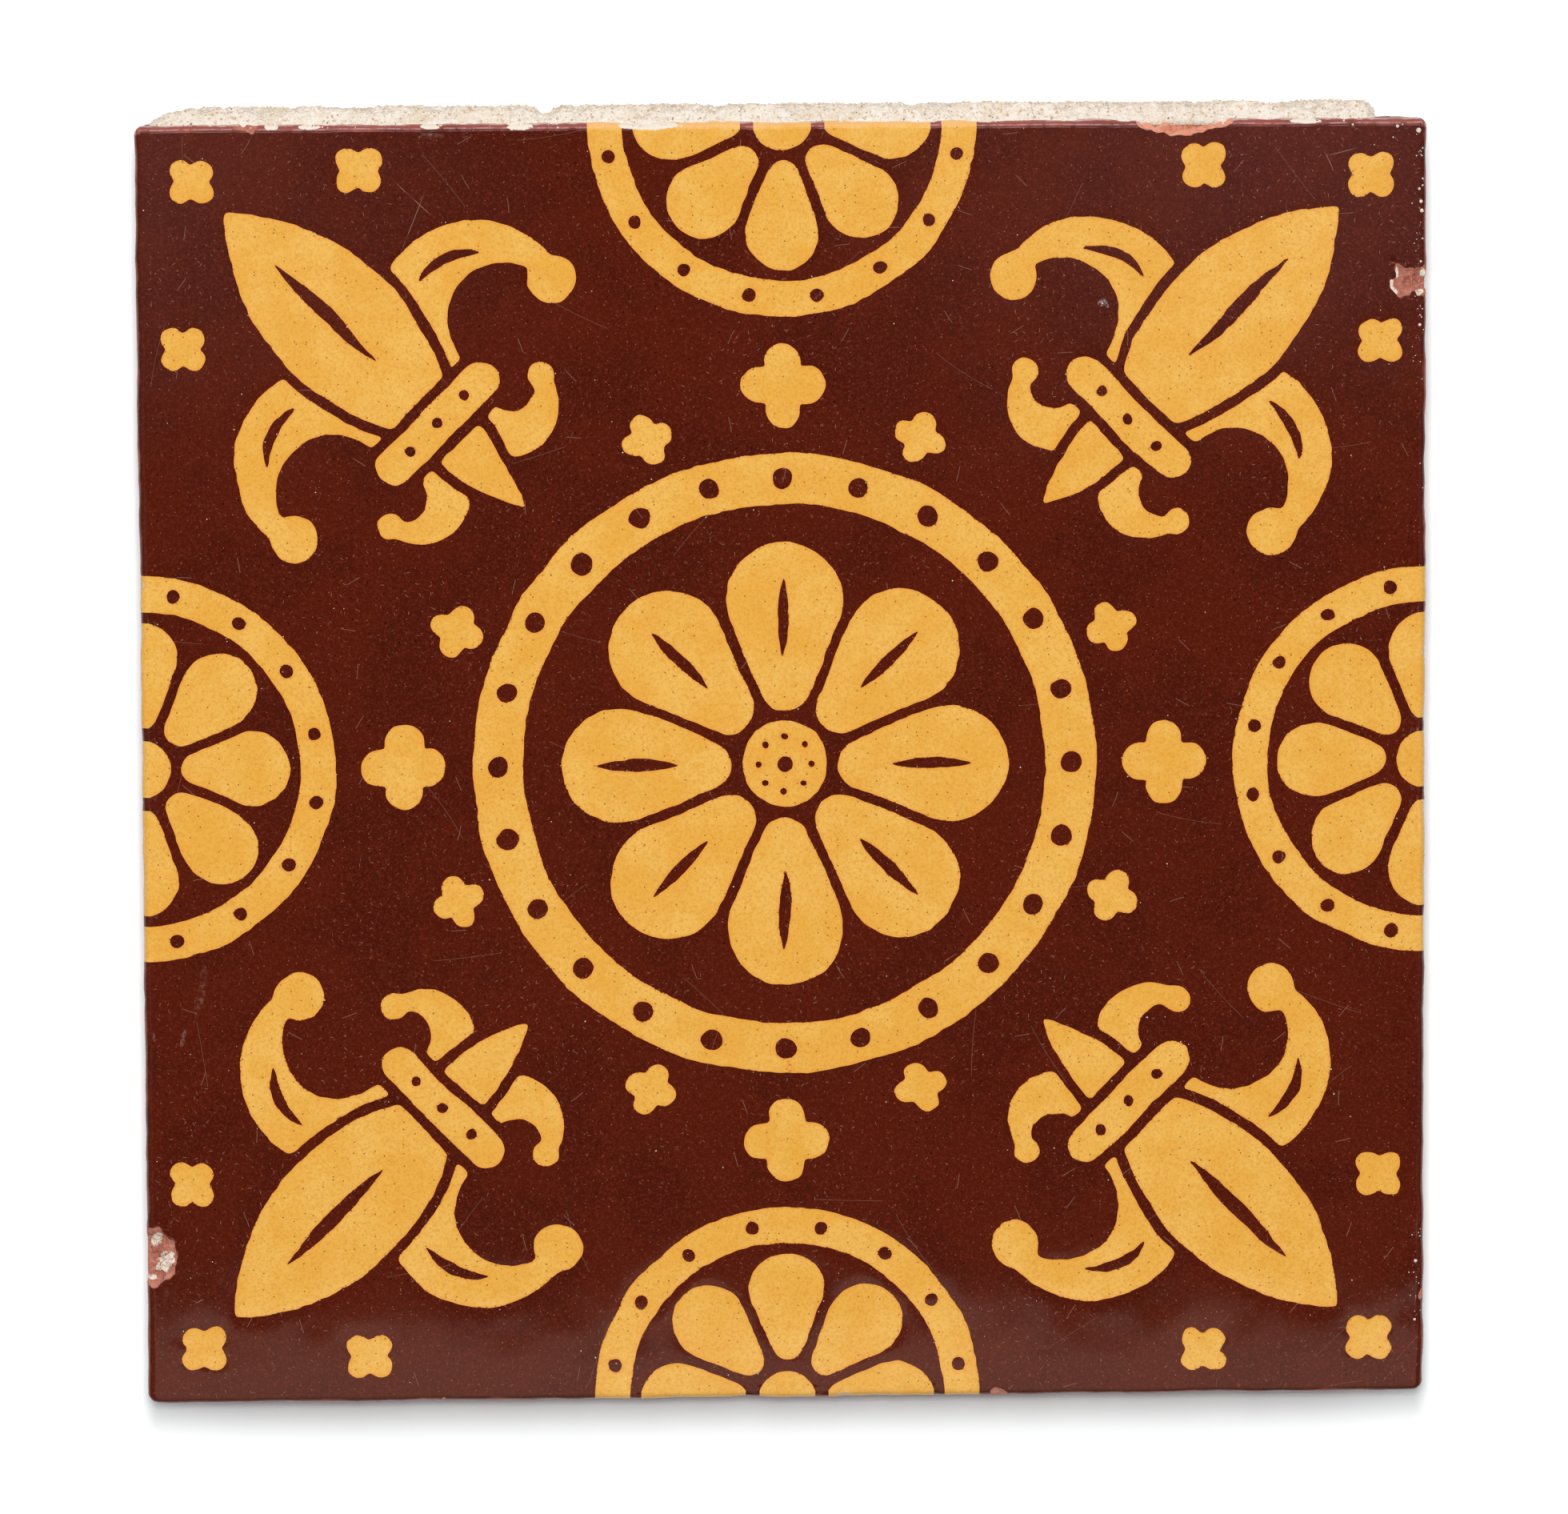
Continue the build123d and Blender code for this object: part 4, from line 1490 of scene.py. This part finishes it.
def grow(name, mesh, tree, values):
    """The plain mesh that a tree makes of a mesh, with its inputs set by their identifiers."""
    seedling = new_piece("seedling", mesh)
    modifier = seedling.modifiers.new("grow", "NODES")
    modifier.node_group = tree
    for item in tree.interface.items_tree:
        if item.in_out == "INPUT" and item.name in values:
            modifier[item.identifier] = values[item.name]
    grown = seedling.evaluated_get(bpy.context.evaluated_depsgraph_get())
    result = bpy.data.meshes.new_from_object(grown)
    result.name = name
    bpy.data.objects.remove(seedling)
    return new_piece(name, result)


print("ready to set stones")

# %% Scatter the sand
grains_per_square_metre = 1.3e6
largest_grain = 0.24
smallest_share = 0.35
sand_inputs = {"Density": "Float", "Largest": "Float", "Seed": "Int"}
sand_tree, sand, entry = modifier_tree("scatter_sand", sand_inputs)
spots = {"Mesh": entry["Geometry"], "Density": entry["Density"], "Seed": entry["Seed"]}
grain_points = sand.node("GeometryNodeDistributePointsOnFaces", spots, output="Points")
grain_size = times(sand, lot(sand, smallest_share, 1.0, entry["Seed"]), entry["Largest"])
set_stones(sand, grain_points, grain_size, seed=5, tint_share=1.0)

front_faces = [face for face in crust_faces if len(face) == 4 and max(face) < top_start]
front_mesh = bpy.data.meshes.new("crust_front")
front_mesh.from_pydata((front * millimetre).tolist(), [], front_faces)
sand_values = {"Density": grains_per_square_metre, "Largest": largest_grain * millimetre, "Seed": 3}
mortar_sand = grow("mortar_sand", front_mesh, sand_tree, sand_values)
print("sand has", len(mortar_sand.data.polygons), "triangles")

# %% [markdown]
# ## Where the lime sits
#
# The crumbs in the glaze are not spread evenly. A line of them follows the right edge,
# where the glaze drew thin and boiled, so the larger ones are listed one by one and small
# ones strewn between. More cling to the upper arris, next to the mortar, two sit in the bruise,
# and a thin scatter covers the brown ground. Each crumb is sunk to its middle.

# %% Places of the flecks
right_flecks = [
    (75.2, 74.7, 0.34), (72.7, 75.2, 0.22), (67.4, 75.4, 0.16), (73.3, 75.4, 0.11), (72.2, 73.9, 0.11),
    (75.5, 66.3, 0.24), (75.6, 65.2, 0.27), (75.3, 67.8, 0.19), (75.7, 68.2, 0.13), (75.7, 69.0, 0.13),
    (75.7, 72.6, 0.11), (75.6, 71.7, 0.11), (75.5, 59.2, 0.17), (75.7, 61.9, 0.13), (75.4, 51.7, 0.21),
    (75.7, 55.4, 0.12), (75.6, 52.6, 0.11), (75.2, -60.4, 0.22), (75.1, -67.5, 0.19), (74.4, -61.8, 0.09),
]
bruise_flecks = [(37.8, 54.5, 0.13), (38.0, 54.7, 0.07)]
right_stretches = ((45, 75, 46), (-67, -56, 16), (-20, 40, 14))
upper_stretches = ((-57, -51, 8), (-33, -12, 22), (-75, 70, 30))
ground_flecks = 420
flecks = list(right_flecks)
for low, high, count in right_stretches:
    for y in random.uniform(low, high, count):
        flecks.append((75.3 + random.normal() * 0.35, y, random.uniform(0.035, 0.09)))
for low, high, count in upper_stretches:
    for x in random.uniform(low, high, count):
        flecks.append((x, 75.95 + random.normal() * 0.14, 0.04 + 0.12 * random.random() ** 2))
flecks += bruise_flecks
ground_faces = np.flatnonzero((face_motif < 0) & (face_area > 0.05))
for face in random.choice(ground_faces, ground_flecks, replace=False):
    x, y = face_points[face_triangles[face]].mean(axis=0)
    flecks.append((x, y, 0.03 + 0.07 * random.random() ** 3))
flecks = np.array(flecks)
print(len(flecks), "flecks of lime")

# %% Set the lime flecks
fleck_growth = 1.0
fleck_tree, fleck, entry = modifier_tree("set_flecks", {"Growth": "Float"})
own_size = fleck.node("GeometryNodeInputNamedAttribute", {"Name": "size"}, data_type="FLOAT")
fleck_size = times(fleck, own_size, entry["Growth"])
set_stones(fleck, entry["Geometry"], fleck_size, seed=9, tint_share=0.15)

rolled_points = np.arange(first_row, first_row + arris_rows * station_count)
surface_ids = np.concatenate([np.arange(first_floor), rolled_points])
surface_tree = tree_of(start[surface_ids, :2])
nearest = surface_ids[[surface_tree.find((x, y, 0))[1] for x, y, _ in flecks]]
heights = bent[nearest, 2]
fleck_mesh = bpy.data.meshes.new("fleck_points")
fleck_mesh.from_pydata((np.column_stack([flecks[:, :2], heights]) * millimetre).tolist(), [], [])
sizes = fleck_mesh.attributes.new("size", "FLOAT", "POINT")
sizes.data.foreach_set("value", (flecks[:, 2] * millimetre).astype(np.float32))
lime_flecks = grow("lime_flecks", fleck_mesh, fleck_tree, {"Growth": fleck_growth})
print("lime flecks have", len(lime_flecks.data.polygons), "triangles")

# %% [markdown]
# ## Handing the pieces over
#
# Each clay piece stands for one solid of the frame and takes its place. The crust stands for
# the mortar. The sand and the flecks are extra, so they replace nothing. The tile is rigid,
# so everything rides on its one body.

# %% Dress and place the pieces
for node, piece in clay_pieces.items():
    is_block = node == "tile_body"
    piece.data.materials.append(red_material if is_block else buff_material)
    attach(piece, "root")
    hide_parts(node)
mortar_crust.data.materials.append(mortar_material)
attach(mortar_crust, "root")
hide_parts("mortar_residue")
for piece in (mortar_sand, lime_flecks):
    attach(piece, "root")
print(len(clay_pieces) + 3, "pieces in place")

# %% [markdown]
# ## The studio
#
# The tile lies on a white floor. The glaze is a mirror, so what it shows and what lights
# the clay are two different things, and the world has a rule for each. A ray that leaves
# the glaze finds dark straight above, which keeps the brown deep, a bright strip further
# up, and warm white cards only beyond the near edge and the sides. Any other ray finds a
# soft room that is brighter on the mortared side, and the camera sees plain white.

# %% World
room_dim, room_bright = 0.16, 0.70
card_low, card_rise, card_strength = 0.21, 0.285, 1.75
fringe_low, fringe_rise = 0.012, 0.26
strip_strength = 2.5
ground_glow = 0.5
warm_card = (1.0, 0.74, 0.60)
plain_white = (1.0, 1.0, 1.0)

world = bpy.data.worlds.new("studio")
world.use_nodes = True
bpy.context.scene.world = world
sky = Shader(world.node_tree)
heading_x, heading_y, heading_z = sky.part_of(sky.node("TexCoord", output="Generated"))
upward = heading_z.larger(0.001)
lean_x = heading_x / upward
lean_y = heading_y / upward
between = abs(lean_x - 0.03).ramp(0.36, 0.30)
opening = between * lean_y.ramp(-0.1735, -0.1715) * lean_y.ramp(0.62, 0.5)
card = (card_low + card_rise * heading_z.ramp(0.25, 0.96)) * card_strength * (0.2 + 0.8 * between)
fringe = fringe_low + fringe_rise * abs(lean_x - 0.024).ramp(0, 0.06) * lean_y.ramp(-0.0975, -0.058)
strip = lean_y.ramp(0.235, 0.25) * lean_y.ramp(0.305, 0.29) * strip_strength
reflected = card * (1 - opening) + (fringe + strip) * opening
room = room_dim + (room_bright - room_dim) * heading_y.ramp(0.22, 0.40)
mirrored = sky.node("LightPath", output="Is Glossy Ray")
light = reflected * mirrored + room * (1 - mirrored)
below = heading_z.ramp(0.0, -0.02)
light = light * (1 - below) + ground_glow * below
seen = sky.node("LightPath", output="Is Camera Ray")
strength = light * (1 - seen) + seen
warmth = sky.mix(mirrored * lean_y.ramp(-0.16, -0.175), plain_white, warm_card)
sky.node("OutputWorld", {"Surface": sky.node("Background", {"Color": warmth, "Strength": strength})})
print(len(sky.tree.nodes), "nodes in the world")

# %% [markdown]
# ## Lamps and floor
#
# Two lamps lean over from the mortared side: a narrow one, which starts the shadow dark and
# steep under the near edge, and a wide one, which lets it run out softly. Neither shows in
# the glaze. The floor is a pale grey to the light and white to the camera, so that it is a
# white ground that still keeps the shadow.

# %% Lamps
lamp_distance = 1.2
lamp_left = 0.045
lamp_width = 0.10


def hang_lamp(name, shape, lean, depth, watts):
    """A lamp above the tile that leans over from the mortared side by some degrees."""
    lamp_data = bpy.data.lights.new(name, "AREA")
    lamp_data.shape = shape
    lamp_data.size = lamp_width
    lamp_data.size_y = depth
    lamp_data.energy = watts
    lamp = bpy.data.objects.new(name, lamp_data)
    lean = radians(lean)
    lamp.location = (-lamp_left, lamp_distance * sin(lean), lamp_distance * cos(lean))
    lamp.rotation_euler = (-lean, 0, 0)
    lamp.visible_glossy = False
    bpy.context.collection.objects.link(lamp)


hang_lamp("wide_lamp", "ELLIPSE", 11.6, 0.235, 7.4)
hang_lamp("narrow_lamp", "RECTANGLE", 7.25, 0.048, 3.4)
print("two lamps,", lamp_distance, "m away")

# %% Floor
floor_reach = 1.5
floor_grey = (0.8, 0.8, 0.8)
floor_seen = (1.15, 1.19, 1.20)
floor_corners = [(x * floor_reach, y * floor_reach, 0) for x, y in ((-1, -1), (1, -1), (1, 1), (-1, 1))]
floor_mesh = bpy.data.meshes.new("floor")
floor_mesh.from_pydata(floor_corners, [], [(0, 1, 2, 3)])
floor = new_piece("floor", floor_mesh)
floor_material, ground = new_material("floor_white")
seen = ground.node("LightPath", output="Is Camera Ray")
paint = ground.mix(seen, floor_grey, floor_seen)
ground.node("OutputMaterial", {"Surface": ground.node("BsdfDiffuse", {"Color": paint})})
floor_mesh.materials.append(floor_material)
floor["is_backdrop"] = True
bpy.context.scene.view_settings.view_transform = "Standard"
print("floor", 2 * floor_reach, "m wide")

# %% [markdown]
# ## The camera
#
# The tile was photographed from almost straight above, through a long lens. The camera
# leans a few degrees towards the mortared side, which is why that side shows and the
# opposite one doesn't. Its focal length is known in pixels, so the lens is the sensor's
# width times that length, as a share of the image's width.

# %% Camera
image_width = 1960
camera_distance = 1.258
camera_tilt = radians(6.77)
camera_yaw = radians(-2.04)
camera_roll = radians(-0.25)
focal_pixels = 13256
sensor_width = 36
centre_right, centre_down = 0.95, 9.05
level = cos(camera_yaw)
towards = Vector((sin(camera_yaw), sin(camera_tilt) * level, cos(camera_tilt) * level))
target = Vector((0, 0, thickness * millimetre))
up = (Vector((0, 1, 0)) - towards * towards.y).normalized()
right = up.cross(towards)
rolled_right = right * cos(camera_roll) + up * sin(camera_roll)
rolled_up = up * cos(camera_roll) - right * sin(camera_roll)
camera_data = bpy.data.cameras.new("camera")
camera_data.sensor_width = sensor_width
camera_data.lens = focal_pixels / image_width * sensor_width
camera_data.shift_x = -centre_right / image_width
camera_data.shift_y = centre_down / image_width
camera = bpy.data.objects.new("camera", camera_data)
turn = Matrix((rolled_right, rolled_up, towards)).transposed().to_4x4()
camera.matrix_world = Matrix.Translation(target + towards * camera_distance) @ turn
bpy.context.collection.objects.link(camera)
bpy.context.scene.camera = camera
print("lens", round(camera_data.lens, 1), "mm")

# %% [markdown]
# ## Sizes and the end
#
# The box of the solids was kept at the start. The box of the dressed tile is measured now.
# The finish adds less than a millimetre on any side.

# %% Sizes and finish
low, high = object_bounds()
